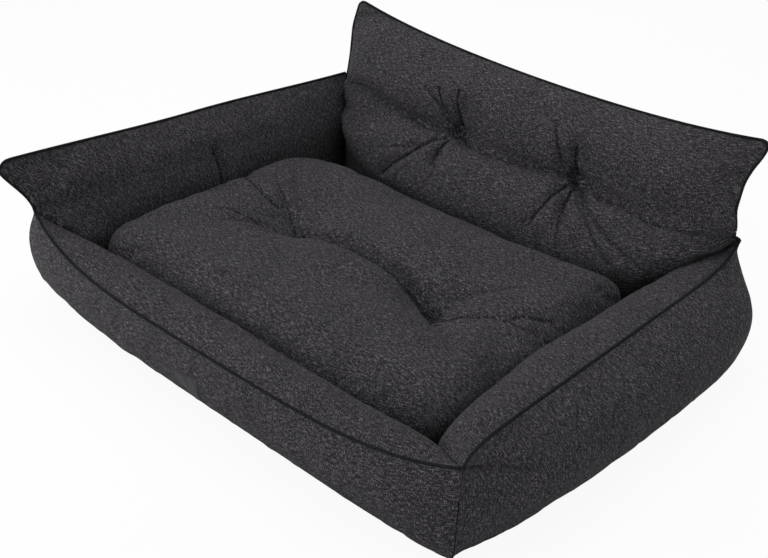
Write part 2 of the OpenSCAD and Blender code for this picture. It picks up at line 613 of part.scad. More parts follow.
module mattress_cover() {
    slot_w = zip_tape_w + 2 * seat_gap;
    color(cloth_colour) difference() {
        mattress_shape();
        difference() {
            mattress_core(cover_t);
            tuft_bores(tie_bore_r + cover_t / 2);
        }
        tuft_bores(tie_bore_r);
        at_mattress_tufts() translate([0, 0, -overrun])
            cylinder(h = overrun + tie_disc_t + 2 * seat_gap, r = disc_r + seat_gap, $fn = round_fn);
        at_zip() centred_block(-seat_gap, -zip_tape_t, zip_length + 2 * seat_gap,
            zip_sink + overrun, slot_w);
    }
}
module mattress_fill() {
    color(fill_colour) difference() {
        mattress_core(cover_t + seat_gap);
        tuft_bores(tie_bore_r + cover_t / 2 + seat_gap);
    }
}
module mattress_tuft_ties() {
    color(thread_colour) at_mattress_tufts() {
        translate([0, 0, seat_gap]) cylinder(h = tie_disc_t, r = disc_r, $fn = round_fn);
        translate([0, 0, seat_gap]) cylinder(h = tuft_h + seat_gap, r = tie_r, $fn = round_fn);
        translate([0, 0, tuft_h + 2 * seat_gap])
            cylinder(h = tie_disc_t, r = disc_r, $fn = round_fn);
    }
}
module mattress_zip_tape() {
    color(thread_colour) at_zip() centred_block(0, -zip_tape_t, zip_length, zip_tape_t, zip_tape_w);
}
module mattress_zip_coil() {
    color(thread_colour) at_zip() difference() {
        translate([stop_l, 0, 0]) rotate([0, 90, 0])
            cylinder(h = coil_l, r = coil_r, $fn = round_fn);
        centred_block(0, -2 * coil_r, zip_length, 2 * coil_r, 2 * coil_r + overrun);
    }
}
module mattress_zip_stops() {
    color(metal_colour) at_zip() for (x = [0, zip_length - stop_l])
        centred_block(x, 0, stop_l, coil_r + slide_gap, 2 * (coil_r + slide_gap));
}
module mattress_zip_slider() {
    color(metal_colour) at_zip() translate([stop_l, 0, 0]) {
        difference() {
            centred_block(0, seat_gap, slider_l, slider_top - seat_gap, 2 * slider_half_w);
            centred_block(-overrun, -overrun, slider_l + 2 * overrun,
                overrun + coil_r + slide_gap, 2 * (coil_r + slide_gap));
        }
        difference() {
            centred_block(slider_l / 2 - lug_l / 2, slider_top, lug_l,
                pin_out + lug_l / 2 - slider_top, lug_w);
            translate([slider_l / 2, pin_out, 0])
                cylinder(h = lug_w + 2 * overrun, r = pin_r + pin_gap, center = true, $fn = round_fn);
        }
    }
}
module mattress_zip_pull() {
    eye_w = lug_w / 2 + slide_gap;
    fork_l = lug_l;
    color(metal_colour) at_zip() translate([stop_l + slider_l / 2, pin_out, 0]) {
        cylinder(h = pull_w, r = pin_r, center = true, $fn = round_fn);
        for (m = [0, 1]) mirror([0, 0, m]) translate([-pull_t / 2, -pull_t / 2, eye_w])
            cube([fork_l, pull_t, pull_w / 2 - eye_w]);
        centred_block(fork_l - pull_t / 2 - slide_gap, -pull_t / 2, pull_l - fork_l, pull_t, pull_w);
    }
}

under_cloth();
floor_pad();
front_wall_cover();
front_wall_fill();
front_rim_piping();
right_wall_cover();
right_wall_fill();
right_rim_piping();
left_wall_cover();
left_wall_fill();
left_rim_piping();
back_lower_cover();
back_lower_fill();
back_upper_cover();
back_upper_fill();
back_tuft_ties();
back_corner_piping();
back_rim_piping();
label_patch();
mattress_cover();
mattress_fill();
mattress_tuft_ties();
mattress_zip_tape();
mattress_zip_coil();
mattress_zip_stops();
mattress_zip_slider();
mattress_zip_pull();
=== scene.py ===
import math
import bmesh
import bpy
import numpy as np
from mathutils import Matrix, Vector, noise
from mathutils.bvhtree import BVHTree


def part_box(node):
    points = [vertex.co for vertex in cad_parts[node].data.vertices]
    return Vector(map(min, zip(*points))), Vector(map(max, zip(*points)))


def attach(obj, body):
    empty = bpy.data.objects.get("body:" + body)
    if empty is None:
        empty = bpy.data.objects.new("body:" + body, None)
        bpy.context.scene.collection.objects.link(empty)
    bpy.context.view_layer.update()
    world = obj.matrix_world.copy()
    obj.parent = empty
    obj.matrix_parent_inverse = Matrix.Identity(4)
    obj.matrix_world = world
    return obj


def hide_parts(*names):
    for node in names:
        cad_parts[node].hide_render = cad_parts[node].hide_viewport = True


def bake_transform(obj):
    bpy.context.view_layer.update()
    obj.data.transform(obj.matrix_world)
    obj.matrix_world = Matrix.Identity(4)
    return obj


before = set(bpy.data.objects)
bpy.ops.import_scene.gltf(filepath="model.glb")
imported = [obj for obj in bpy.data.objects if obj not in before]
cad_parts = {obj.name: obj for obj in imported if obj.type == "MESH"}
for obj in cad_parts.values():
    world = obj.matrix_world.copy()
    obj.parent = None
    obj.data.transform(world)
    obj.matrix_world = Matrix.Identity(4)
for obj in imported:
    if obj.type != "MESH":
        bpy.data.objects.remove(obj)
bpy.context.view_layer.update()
scene = bpy.context.scene
bpy.ops.object.select_all(action="DESELECT")


# ---- camera: the photograph's viewpoint, found from the bed's corners and rims
view = {"place": (1.1467, -1.4202, 1.2087), "azimuth": 39.03, "elevation": 31.61,
        "roll": 3.445, "lens": 52.56}
az, el, roll = (math.radians(view[k]) for k in ("azimuth", "elevation", "roll"))
backward = Vector((math.sin(az) * math.cos(el), -math.cos(az) * math.cos(el), math.sin(el)))
level = (-backward).cross(Vector((0, 0, 1))).normalized()
upright = level.cross(-backward)
across = math.cos(roll) * level + math.sin(roll) * upright
above = -math.sin(roll) * level + math.cos(roll) * upright
bpy.ops.object.camera_add()
camera = bpy.context.object
camera.name = "camera"
camera.matrix_world = Matrix.Translation(view["place"]) @ Matrix((across, above, backward)).transposed().to_4x4()
camera.data.lens = view["lens"]
camera.data.sensor_width = 36
camera.data.clip_end = 50
scene.camera = camera
print("camera placed")


# ---- small helpers
def mix(a, b, t):
    return a + (b - a) * t


def ease(t):
    t = np.clip(t, 0, 1)
    return t * t * (3 - 2 * t)


def fullness(u, power):
    return 1 - np.abs(2 * u - 1) ** power


def bell(distance, width):
    return np.exp(-(distance / width) ** 2)


def pairs(first, second):
    return np.stack(np.broadcast_arrays(first, second), 1)


def evenOut(values, times):
    # inner values drawn towards their neighbours, in place
    for _ in range(times):
        values[1:-1] = (values[:-2] + 2 * values[1:-1] + values[2:]) / 4


def lengthAlong(path):
    return np.concatenate([[0], np.cumsum(np.linalg.norm(np.diff(path, axis=0), axis=1))])


def linearColour(hexText):
    channels = [int(hexText[i:i + 2], 16) / 255 for i in (1, 3, 5)]
    return [c / 12.92 if c <= 0.04045 else ((c + 0.055) / 1.055) ** 2.4 for c in channels] + [1]


def addNode(tree, kind, settings=None, links=None):
    # one shader node with its settings and its incoming links; a linked node gives its first output
    node = tree.nodes.new("ShaderNode" + kind)
    for key, value in (settings or {}).items():
        if isinstance(key, int) or key in node.inputs:
            node.inputs[key].default_value = value
        else:
            setattr(node, key, value)
    for key, source in (links or {}).items():
        tree.links.new(getattr(source, "outputs", [source])[0], node.inputs[key])
    return node


def newMaterial(name):
    material = bpy.data.materials.new(name)
    material.use_nodes = True
    material.node_tree.nodes.clear()
    return material, material.node_tree


def meshPiece(name, points, faces, uvs=None):
    # uvs: one (u, v) for each face corner, in metres of cloth
    mesh = bpy.data.meshes.new(name)
    mesh.from_pydata([tuple(p) for p in points], [], faces)
    if uvs is not None:
        layer = mesh.uv_layers.new(name="weave")
        layer.data.foreach_set("uv", np.asarray(uvs, np.float32).ravel())
    mesh.validate()
    piece = bpy.data.objects.new(name, mesh)
    scene.collection.objects.link(piece)
    return piece


def coordsOf(piece):
    co = np.zeros(len(piece.data.vertices) * 3, np.float32)
    piece.data.vertices.foreach_get("co", co)
    return co.reshape(-1, 3).astype(float)


def setCoords(piece, co):
    piece.data.vertices.foreach_set("co", np.asarray(co, np.float32).ravel())
    piece.data.update()


def normalsOf(piece):
    out = np.zeros(len(piece.data.vertices) * 3, np.float32)
    piece.data.vertex_normals.foreach_get("vector", out)
    return out.reshape(-1, 3).astype(float)


def makeActive(piece):
    bpy.ops.object.select_all(action="DESELECT")
    piece.select_set(True)
    bpy.context.view_layer.objects.active = piece


def thicken(piece, thick):
    makeActive(piece)
    shell = piece.modifiers.new("shell", "SOLIDIFY")
    shell.thickness = thick
    shell.offset = -1
    bpy.ops.object.modifier_apply(modifier=shell.name)


def gridFaces(index):
    # the quads of a grid of point numbers
    return [[int(index[i, j]), int(index[i + 1, j]), int(index[i + 1, j + 1]), int(index[i, j + 1])]
            for i in range(index.shape[0] - 1) for j in range(index.shape[1] - 1)]


def joined(strands, material):
    bpy.ops.object.select_all(action="DESELECT")
    for strand in strands:
        strand.select_set(True)
    bpy.context.view_layer.objects.active = strands[0]
    bpy.ops.object.join()
    strands[0].data.materials.clear()
    strands[0].data.materials.append(material)
    return strands[0]


def closeAndTurnOut(piece, near=0.0002):
    # doubles merged and faces turned outwards
    work = bmesh.new()
    work.from_mesh(piece.data)
    bmesh.ops.remove_doubles(work, verts=work.verts, dist=near)
    bmesh.ops.recalc_face_normals(work, faces=work.faces)
    work.to_mesh(piece.data)
    work.free()


def subdivide(piece, levels=1):
    makeActive(piece)
    finer = piece.modifiers.new("finer", "SUBSURF")
    finer.levels = finer.render_levels = levels
    finer.use_limit_surface = False
    bpy.ops.object.modifier_apply(modifier=finer.name)


clothRun = {"frames": 20, "quality": 5, "mass": 0.3, "stretch": 20, "shear": 6, "bending": 0.6}


def swell(piece, held, pressure, slack, cap):
    # cloth held at its seams and blown up a little from inside, so it puckers as stuffed cloth does
    makeActive(piece)
    start = coordsOf(piece)
    group = piece.vertex_groups.new(name="held")
    for weight in np.unique(np.round(held, 2)):
        if weight > 0:
            group.add([int(i) for i in np.flatnonzero(np.round(held, 2) == weight)], float(weight), "REPLACE")
    cloth = piece.modifiers.new("cloth", "CLOTH")
    settings = cloth.settings
    settings.quality = clothRun["quality"]
    settings.mass = clothRun["mass"]
    settings.tension_stiffness = settings.compression_stiffness = clothRun["stretch"]
    settings.shear_stiffness = clothRun["shear"]
    settings.bending_stiffness = clothRun["bending"]
    settings.use_pressure = True
    settings.uniform_pressure_force = pressure
    settings.shrink_min = -slack
    settings.vertex_group_mass = "held"
    settings.effector_weights.gravity = 0
    cloth.collision_settings.use_collision = False
    cloth.point_cache.frame_start = 1
    cloth.point_cache.frame_end = clothRun["frames"]
    for step in range(1, clothRun["frames"] + 1):
        scene.frame_set(step)
    bpy.ops.object.modifier_apply(modifier=cloth.name)
    moved = coordsOf(piece) - start
    far = np.linalg.norm(moved, axis=1)
    moved *= (np.minimum(far, cap) / np.maximum(far, 1e-9))[:, None]
    setCoords(piece, start + moved)
    piece.vertex_groups.clear()
    scene.frame_set(1)


def ripple(points, size, height, seed):
    # slow uneven lumps of the filling, up to height
    offset = Vector((seed * 7.3, seed * 3.1, seed * 5.7))
    return np.array([noise.noise(Vector(p) / size + offset) for p in points]) * height


def toLine(points, line):
    # distance to a bent line, and how far along it (0 to 1) the nearest place is
    best = np.full(len(points), 1e9)
    share = np.zeros(len(points))
    line = np.asarray(line, float)
    runs = np.linalg.norm(np.diff(line, axis=0), axis=1)
    done = 0
    for a, b, run in zip(line[:-1], line[1:], runs):
        t = np.clip(((points - a) @ (b - a)) / (run * run), 0, 1)
        d = np.linalg.norm(points - (a + t[:, None] * (b - a)), axis=1)
        closer = d < best
        best[closer] = d[closer]
        share[closer] = (done + t[closer] * run) / runs.sum()
        done += run
    return best, share


def foldDepth(points, folds, limit=0.018):
    # sum of folds, each (line, width, depth at its start, depth at its end), no deeper than limit
    total = np.zeros(len(points))
    for line, width, first, last in folds:
        d, s = toLine(points, line)
        depth = mix(first, last, s) * np.where(s >= 1, bell(d, width), 1)
        total += depth * (0.62 * np.exp(-(d / width) ** 3) + 0.38 * bell(d, 4 * width)
                          - 0.08 * bell(d - 7 * width, 2.5 * width))
    return np.where(total > 0, limit * (1 - np.exp(-total / limit)), total)


def refineNear(piece, folds, reach, flatten):
    # finer mesh along the fold lines, so that they stay narrow
    flat = coordsOf(piece) @ flatten
    close = np.zeros(len(flat), bool)
    for line, _, _, _ in folds:
        close |= toLine(flat, np.array(line))[0] < reach
    work = bmesh.new()
    work.from_mesh(piece.data)
    edges = [e for e in work.edges if close[e.verts[0].index] and close[e.verts[1].index]]
    bmesh.ops.subdivide_edges(work, edges=edges, cuts=1, use_grid_fill=True)
    work.to_mesh(piece.data)
    work.free()


def panel(keys, swells, count, rounding, fade):
    # keys (rows, K, 2) joined by bowed stretches, rounded off and cut into count even steps
    rows = keys.shape[0]
    fine = []
    for k in range(keys.shape[1] - 1):
        a, b = keys[:, k], keys[:, k + 1]
        run = b - a
        left = np.stack([-run[:, 1], run[:, 0]], 1) / np.linalg.norm(run, axis=1)[:, None]
        for i in range(24):
            t = i / 24
            fine.append(a + run * t + left * (swells[k] * math.sin(math.pi * t))[:, None])
    fine.append(keys[:, -1])
    fine = np.stack(fine, 1)
    out = np.zeros((rows, count + 1, 2))
    for r in range(rows):
        run = lengthAlong(fine[r])
        even = np.linspace(0, run[-1], 97)
        line = np.stack([np.interp(even, run, fine[r][:, c]) for c in (0, 1)], 1)
        soft = line.copy()
        evenOut(soft, rounding)
        line = mix(line, soft, fade[r])
        run = lengthAlong(line)
        even = np.linspace(0, run[-1], count + 1)
        out[r] = np.stack([np.interp(even, run, line[:, c]) for c in (0, 1)], 1)
    return out


def sewnWall(name, outer, inner, shares, endStart, endLast, length, place, turned=False):
    # outer and inner panels (rows, steps + 1, 2) share the rim; shares places the rows along the wall,
    # and endStart and endLast cut its ends
    rows, steps = outer.shape[0], outer.shape[1] - 1
    ring = np.concatenate([outer, inner[:, 1:-1]], 1)
    columns = ring.shape[1]
    u = shares[:, None]
    startX, lastX = endStart(ring[0]), endLast(ring[-1])
    x = mix(startX[None, :], length - lastX[None, :], u)
    local = np.stack([x, ring[:, :, 0], ring[:, :, 1]], 2)
    points = place(local.reshape(-1, 3))
    middle = ring[rows // 2]
    around = lengthAlong(np.vstack([middle, middle[:1]]))
    alongU = u[:, 0] * length
    faces, uvs = [], []
    for j in range(rows - 1):
        for i in range(columns):
            k = (i + 1) % columns
            faces.append((j * columns + i, j * columns + k, (j + 1) * columns + k, (j + 1) * columns + i))
            uvs += [(alongU[j], around[i]), (alongU[j], around[i + 1]), (alongU[j + 1], around[i + 1]),
                    (alongU[j + 1], around[i])]
    for row in (0, rows - 1):
        base = row * columns
        for k in range(columns // 2):
            a, b = (steps - k) % columns, (steps - k - 1) % columns
            c, d = (steps + k + 1) % columns, (steps + k) % columns
            corners = [a, b, c, d]
            face = [base + p for p in dict.fromkeys(corners)]
            if len(face) > 2:
                faces.append(tuple(face))
                uvs += [(ring[row][p - base][0], ring[row][p - base][1]) for p in face]
    if turned:  # the warp runs up the wall
        uvs = [(b, a) for a, b in uvs]
    piece = meshPiece(name, points, faces, uvs)
    return piece, points.reshape(rows, columns, 3), steps


# ---- lights, floor and background
studio = {"lamps": [("lampAbove", (-0.5, 0.7, 2.6), 2.2, 28), ("lampRight", (2.4, -0.2, 1.6), 1.8, 3),
                    ("lampFront", (-1.5, -2.2, 1.3), 1.6, 20), ("lampCorner", (-1.2, -1.7, 0.6), 0.9, 8)],
          "world": 0.49, "floor": "#f4f4f4", "floorWhite": 0.92}
for name, place, size, power in studio["lamps"]:
    bpy.ops.object.light_add(type="AREA", location=place)
    lamp = bpy.context.object
    lamp.name = name
    lamp.data.size = size
    lamp.data.energy = power
    lamp.rotation_euler = (-Vector(place)).to_track_quat("-Z", "Y").to_euler()

world = bpy.data.worlds.new("studioAir")
scene.world = world
world.use_nodes = True
air = world.node_tree
air.nodes.clear()
airPath = addNode(air, "LightPath")
airSeen = addNode(air, "Math", {"operation": "MAXIMUM"}, {0: airPath.outputs["Is Camera Ray"],
                                                          1: airPath.outputs["Is Glossy Ray"]})
airClear = addNode(air, "Math", {"operation": "MAXIMUM"}, {0: airSeen, 1: airPath.outputs["Is Transmission Ray"]})
airLevel = addNode(air, "MapRange", {"To Min": studio["world"], "To Max": 1.0}, {"Value": airClear})
airGlow = addNode(air, "Background", {"Color": (1, 1, 1, 1)}, {"Strength": airLevel})
addNode(air, "OutputWorld", None, {"Surface": airGlow})

bpy.ops.mesh.primitive_plane_add(size=12, location=(0, 0, 0))
floor = bpy.context.object
floor.name = "studioFloor"
# pale matt paper: mostly white to the camera, and it keeps the bed's shadow
paper, tree = newMaterial("paperFloor")
seen = addNode(tree, "LightPath")
matt = addNode(tree, "BsdfDiffuse", {"Color": linearColour(studio["floor"])})
glow = addNode(tree, "Emission", {"Color": (1, 1, 1, 1), "Strength": 1.0})
share = addNode(tree, "Math", {"operation": "MULTIPLY", 1: studio["floorWhite"]}, {0: seen.outputs["Is Camera Ray"]})
both = addNode(tree, "MixShader", None, {0: share, 1: matt, 2: glow})
addNode(tree, "OutputMaterial", None, {"Surface": both})
floor.data.materials.append(paper)
scene.view_settings.view_transform = "Standard"
print("studio ready")


# ---- materials
def wovenCloth(name, dark, middle, light, relief=0.4, thread=1.5, laid=True):
    # linen-look melange polyester: dark ground with paler slubs along warp and weft.
    # Real threads lie about 0.8 mm apart; they are drawn at 1.5 mm so that they show.
    material, tree = newMaterial(name)
    if laid:
        place = addNode(tree, "UVMap", {"uv_map": "weave"})
    else:
        place = addNode(tree, "TexCoord").outputs["Object"]
    mm = addNode(tree, "VectorMath", {"operation": "SCALE", "Scale": 1000.0}, {0: place})
    slubs = []
    for size in ((12, 1.3, 2), (1.3, 6, 2)):
        stretched = addNode(tree, "VectorMath", {"operation": "DIVIDE", 1: size}, {0: mm})
        slubs.append(addNode(tree, "TexNoise", {"Scale": 1.0, "Detail": 2.0, "Roughness": 0.6}, {"Vector": stretched}))
    grain = addNode(tree, "TexNoise", {"Scale": 0.7, "Detail": 2.0, "Roughness": 0.7}, {"Vector": mm})
    pair = addNode(tree, "Math", {"operation": "MAXIMUM"}, {0: slubs[0], 1: slubs[1]})
    flecks = addNode(tree, "Mix", {"data_type": "FLOAT", 0: 0.27}, {2: pair, 3: grain})
    ramp = addNode(tree, "ValToRGB", None, {0: flecks})
    ramp.color_ramp.elements[0].position = 0.465
    ramp.color_ramp.elements[0].color = linearColour(dark)
    ramp.color_ramp.elements[1].position = 0.655
    ramp.color_ramp.elements[1].color = linearColour(light)
    ramp.color_ramp.elements.new(0.55).color = linearColour(middle)
    wide = addNode(tree, "TexNoise", {"Scale": 0.012, "Detail": 2.0}, {"Vector": mm})
    shade = addNode(tree, "MapRange", {"From Min": 0.3, "From Max": 0.7, "To Min": 0.92, "To Max": 1.08},
                    {"Value": wide})
    tint = addNode(tree, "VectorMath", {"operation": "SCALE"}, {0: ramp, "Scale": shade})
    parts = addNode(tree, "SeparateXYZ", None, {0: mm})
    waves = []
    for axis in ("X", "Y"):
        turn = addNode(tree, "Math", {"operation": "MULTIPLY", 1: math.pi / thread}, {0: parts.outputs[axis]})
        waves.append(addNode(tree, "Math", {"operation": "SINE"}, {0: turn}))
    over = addNode(tree, "Math", {"operation": "MULTIPLY"}, {0: waves[0], 1: waves[1]})
    height = addNode(tree, "Math", {"operation": "MULTIPLY_ADD", 1: 0.35}, {0: over, 2: flecks})
    bump = addNode(tree, "Bump", {"Strength": relief, "Distance": 0.001}, {"Height": height})
    cloth = addNode(tree, "BsdfPrincipled", {"Roughness": 0.95, "Specular IOR Level": 0.12},
                    {"Base Color": tint, "Normal": bump})
    addNode(tree, "OutputMaterial", None, {"Surface": cloth})
    return material


melange = wovenCloth("charcoalLinenMelange", "#1e1c1e", "#323033", "#7b787d", 0.22)
pipingCloth = wovenCloth("blackPipingTwill", "#121113", "#1a191b", "#2b2a2d", 0.3, 1.0, False)


# ---- tub: four stuffed walls between the same corner seams (metres)
tub = {"length": 1.0, "depth": 0.85, "cornerRim": 0.184, "frontLeftRim": 0.196, "backRightRim": 0.212,
       "cornerReach": 0.052, "base": 0.0028, "gap": 0.0002, "step": 0.008, "tuck": 0.030, "steps": 34,
       "cornerSkew": 0.62, "footIn": 0.012, "footHigh": 0.030, "cornerFoot": (0.024, 0.048), "cornerBulge": (0.015,
                                                                                                             0.006)}


def endMitre(ring, skew=1):
    # the end of a wall, cut along the corner's seam; skew turns that seam away from half way between the walls
    inward = np.maximum(ring[:, 0], -0.006)
    return tub["gap"] + np.where(inward > 0, inward * skew, inward)


def cornerBow(ring):
    # 1 half way up the outer side of the front left corner, 0 at its foot and rim
    low, high = tub["cornerFoot"][1], tub["frontLeftRim"]
    return np.sin(math.pi * np.clip((ring[:, 1] - low) / (high - low), 0, 1)) * (ring[:, 0] < 0.001)


def keyRows(first, middle, last, powers, u):
    rows = []
    for k, power in enumerate(powers):
        near, far = power if isinstance(power, tuple) else (power, power)
        full = np.where(u < 0.5, fullness(u, near), fullness(u, far))[:, None]
        a = np.asarray(first[k], float)
        b = np.asarray(last[k], float)
        m = np.asarray(middle[k], float)
        m = m if m.ndim == 2 else np.tile(m, (len(u), 1))
        ends = np.where((u < 0.5)[:, None], a, b)
        rows.append(mix(ends, m, full))
    return np.stack(rows, 1)


def atFront(p):
    return np.stack([p[:, 0] - tub["length"] / 2, p[:, 1] - tub["depth"] / 2, p[:, 2]], 1)


def atRight(p):
    return np.stack([tub["length"] / 2 - p[:, 1], p[:, 0] - tub["depth"] / 2, p[:, 2]], 1)


def atLeft(p):
    return np.stack([p[:, 1] - tub["length"] / 2, p[:, 0] - tub["depth"] / 2, p[:, 2]], 1)


def atBack(p):
    return np.stack([p[:, 0] - tub["length"] / 2, tub["depth"] / 2 - p[:, 1], p[:, 2]], 1)


def sharesFor(length):
    # even steps, with extra rows close to the corners
    n = int(round(length / tub["step"]))
    even = np.linspace(0, 1, n + 1)
    close = np.array([0.0015, 0.004, 0.012]) / length
    return np.unique(np.round(np.concatenate([even, close, 1 - close]), 6))


def earDrop(u, length, radius):
    # how far a rounded ear corner falls below the straight rim
    near = np.clip(1 - np.minimum(u, 1 - u) * length / radius, 0, 1)
    return radius * (1 - np.sqrt(1 - near ** 2))


# front wall
frontWall = {"rim": 0.143, "rimOut": 0.034, "footOut": (0.013, 0.027), "swell": 0.012, "crown": 0.03,
             "reachShares": [0, 0.08, 0.3, 0.55, 0.72, 0.88, 1],
             "reach": [0.080, 0.080, 0.076, 0.068, 0.060, 0.056, 0.056],
             "shoulder": 0.132, "cornerShoulder": 0.138}
u = sharesFor(tub["length"])
base, reachIn = tub["base"], tub["cornerReach"]
tuckEnd, tuckMiddle = [tub["tuck"], base], [tub["tuck"] / 2, base]
footEnd, footTop, innerFoot = [tub["footIn"], base], [0, tub["footHigh"]], [reachIn, base]
reach = np.interp(u, frontWall["reachShares"], frontWall["reach"])
footOut = mix(*frontWall["footOut"], u)
outerKeys = keyRows([tuckEnd, [tub["cornerFoot"][0], base], [0, tub["cornerFoot"][1]], [0, tub["frontLeftRim"]]],
                    [tuckMiddle, pairs(tub["footIn"] - footOut, base),
                     pairs(-footOut, tub["footHigh"]), [-frontWall["rimOut"], frontWall["rim"]]],
                    [tuckEnd, [0.003, base], [-0.005, tub["footHigh"]], [0, tub["cornerRim"]]],
                    [3, (3, 8), (3, 8), 4], u)
innerKeys = keyRows([[0, tub["frontLeftRim"]], [reachIn, frontWall["cornerShoulder"]], innerFoot, tuckEnd],
                    [[-frontWall["rimOut"], frontWall["rim"]], pairs(reach, frontWall["shoulder"]),
                     pairs(reach - 0.006, base), tuckMiddle],
                    [[0, tub["cornerRim"]], [reachIn, frontWall["cornerShoulder"]], innerFoot, tuckEnd],
                    [4, (4, 10), (4, 10), 3], u)
fade = fullness(u, 6)
swellShare = fullness(u, 4)
nearFirst = np.where(u < 0.5, 1 - fullness(u, 4), 0)
crownShare = np.where(u < 0.5, swellShare, fullness(u, 10))
outer = panel(outerKeys, [0 * u, 0 * u, frontWall["swell"] * swellShare + tub["cornerBulge"][1] * nearFirst],
              tub["steps"], 24, fade)
inner = panel(innerKeys, [frontWall["crown"] * crownShare, 0.004 * swellShare, 0 * u], tub["steps"], 60, fade)
front, frontGrid, rimAt = sewnWall("frontWall", outer, inner, u,
                                   lambda ring: endMitre(ring) - cornerBow(ring) * tub["cornerBulge"][0],
                                   lambda ring: endMitre(ring, 1 / tub["cornerSkew"]), tub["length"], atFront)

# right wall
rightWall = {"rim": 0.176, "rimIn": 0.026, "rimOut": 0.008, "swell": 0.046, "crown": 0.024,
             "footShares": [0, 0.03, 0.10, 0.20, 0.44, 0.62, 0.77, 0.86, 0.93, 0.97, 1],
             "footOut": [0, 0.012, 0.031, 0.048, 0.073, 0.085, 0.087, 0.083, 0.069, 0.046, 0],
             "reachShares": [0, 0.07, 0.16, 0.28, 0.44, 0.6, 0.84, 1],
             "reach": [0.100, 0.104, 0.110, 0.116, 0.120, 0.108, 0.094, 0.09],
             "shoulder": 0.140, "cornerShoulder": 0.146, "backShoulder": 0.146}
u = sharesFor(tub["depth"])
reach = np.interp(u, rightWall["reachShares"], rightWall["reach"])
rimReach = mix(rightWall["rimIn"], -rightWall["rimOut"], u)
footOut = np.interp(u, rightWall["footShares"], rightWall["footOut"])
evenOut(footOut, 12)
outerKeys = keyRows([tuckEnd, [0.003, base], [-0.005, tub["footHigh"]], [0, tub["cornerRim"]]],
                    [tuckMiddle, pairs(tub["footIn"] - footOut, base),
                     pairs(-footOut, tub["footHigh"]), pairs(rimReach, rightWall["rim"])],
                    [tuckEnd, footEnd, footTop, [0, tub["backRightRim"]]],
                    [3, 30, 30, 8], u)
cornerReach = reachIn / tub["cornerSkew"]
innerKeys = keyRows([[0, tub["cornerRim"]], [cornerReach, rightWall["cornerShoulder"]], [cornerReach, base], tuckEnd],
                    [pairs(rimReach, rightWall["rim"]), pairs(reach, rightWall["shoulder"]),
                     pairs(reach - 0.008, base), tuckMiddle],
                    [[0, tub["backRightRim"]], [reachIn, rightWall["backShoulder"]], innerFoot, tuckEnd],
                    [8, (10, 5), (10, 5), 3], u)
fade = fullness(u, 6)
swellShare = np.where(u < 0.5, fullness(u, 4), fullness(u, 12))
outer = panel(outerKeys, [0 * u, 0 * u, rightWall["swell"] * swellShare], tub["steps"], 24, fade)
inner = panel(innerKeys, [rightWall["crown"] * fullness(u, 10), 0.004 * swellShare, 0 * u], tub["steps"], 60, fade)
right, rightGrid, rimAt = sewnWall("rightWall", outer, inner, u, lambda ring: endMitre(ring, tub["cornerSkew"]),
                                   endMitre,
                                   tub["depth"], atRight, True)

# left wall, with its front ear sewn shut above the front corner
leftWall = {"frontRim": 0.300, "backRim": 0.259, "frontLean": 0.030, "backLeanIn": 0.022, "swell": 0.030,
            "footOut": (0.016, 0.016),
            "crown": 0.020, "reach": 0.056, "shoulder": 0.126, "ear": 0.049, "earFrom": 0.198, "earRound": 0.022,
            "rimOut": 0.010, "rimSag": 0.003}


def leftStart(ring):
    hang = leftWall["ear"] * ease((ring[:, 1] - leftWall["earFrom"]) / (leftWall["frontRim"] - leftWall["earFrom"]))
    return tub["gap"] + np.maximum(ring[:, 0], 0) - hang - cornerBow(ring) * tub["cornerBulge"][1]


rimFirst = np.array([-leftWall["frontLean"], leftWall["frontRim"]])
rimLast = np.array([leftWall["backLeanIn"], leftWall["backRim"]])
rimMiddle = pairs(-leftWall["rimOut"], mix(leftWall["frontRim"], leftWall["backRim"], u) - leftWall["rimSag"])
corner = [0, tub["frontLeftRim"]]
swellShare = fullness(u, 4)
nearFirst = np.where(u < 0.5, 1 - swellShare, 0)
outerKeys = keyRows([tuckEnd, [tub["cornerFoot"][0], base], [0, tub["cornerFoot"][1]], corner, rimFirst],
                    [tuckMiddle, [tub["footIn"] - leftWall["footOut"][0], base],
                     [-leftWall["footOut"][0], tub["footHigh"]], [-leftWall["swell"] * 0.75, 0.172], rimMiddle],
                    [tuckEnd, footEnd, footTop, [0.005, tub["cornerRim"]], rimLast], [3, (6, 3), (10, 3), (14, 4), 2],
                    u)
outerKeys[:, -1, 1] -= np.where(u < 0.5, earDrop(u, tub["depth"], leftWall["earRound"]), 0)
innerKeys = keyRows([rimFirst, corner, [reachIn, frontWall["cornerShoulder"]], innerFoot, tuckEnd],
                    [rimMiddle, [0.034, 0.205], [leftWall["reach"], leftWall["shoulder"]], [leftWall["reach"] - 0.006,
                                                                                            base],
                     tuckMiddle],
                    [rimLast, [0.040, 0.226], [reachIn, leftWall["shoulder"]], innerFoot, tuckEnd],
                    [2, 4, 4, 4, 3], u)
innerKeys[:, 0] = outerKeys[:, -1]
outer = panel(outerKeys, [0 * u, 0 * u, 0.006 * swellShare + tub["cornerBulge"][0] * nearFirst, 0.008 * swellShare],
              tub["steps"], 24, fade)
inner = panel(innerKeys, [0.012 * swellShare, 0.008 * swellShare, 0.003 * swellShare, 0 * u], tub["steps"], 40, fade)
left, leftGrid, rimAt = sewnWall("leftWall", outer, inner, u, leftStart, endMitre, tub["depth"], atLeft, True)

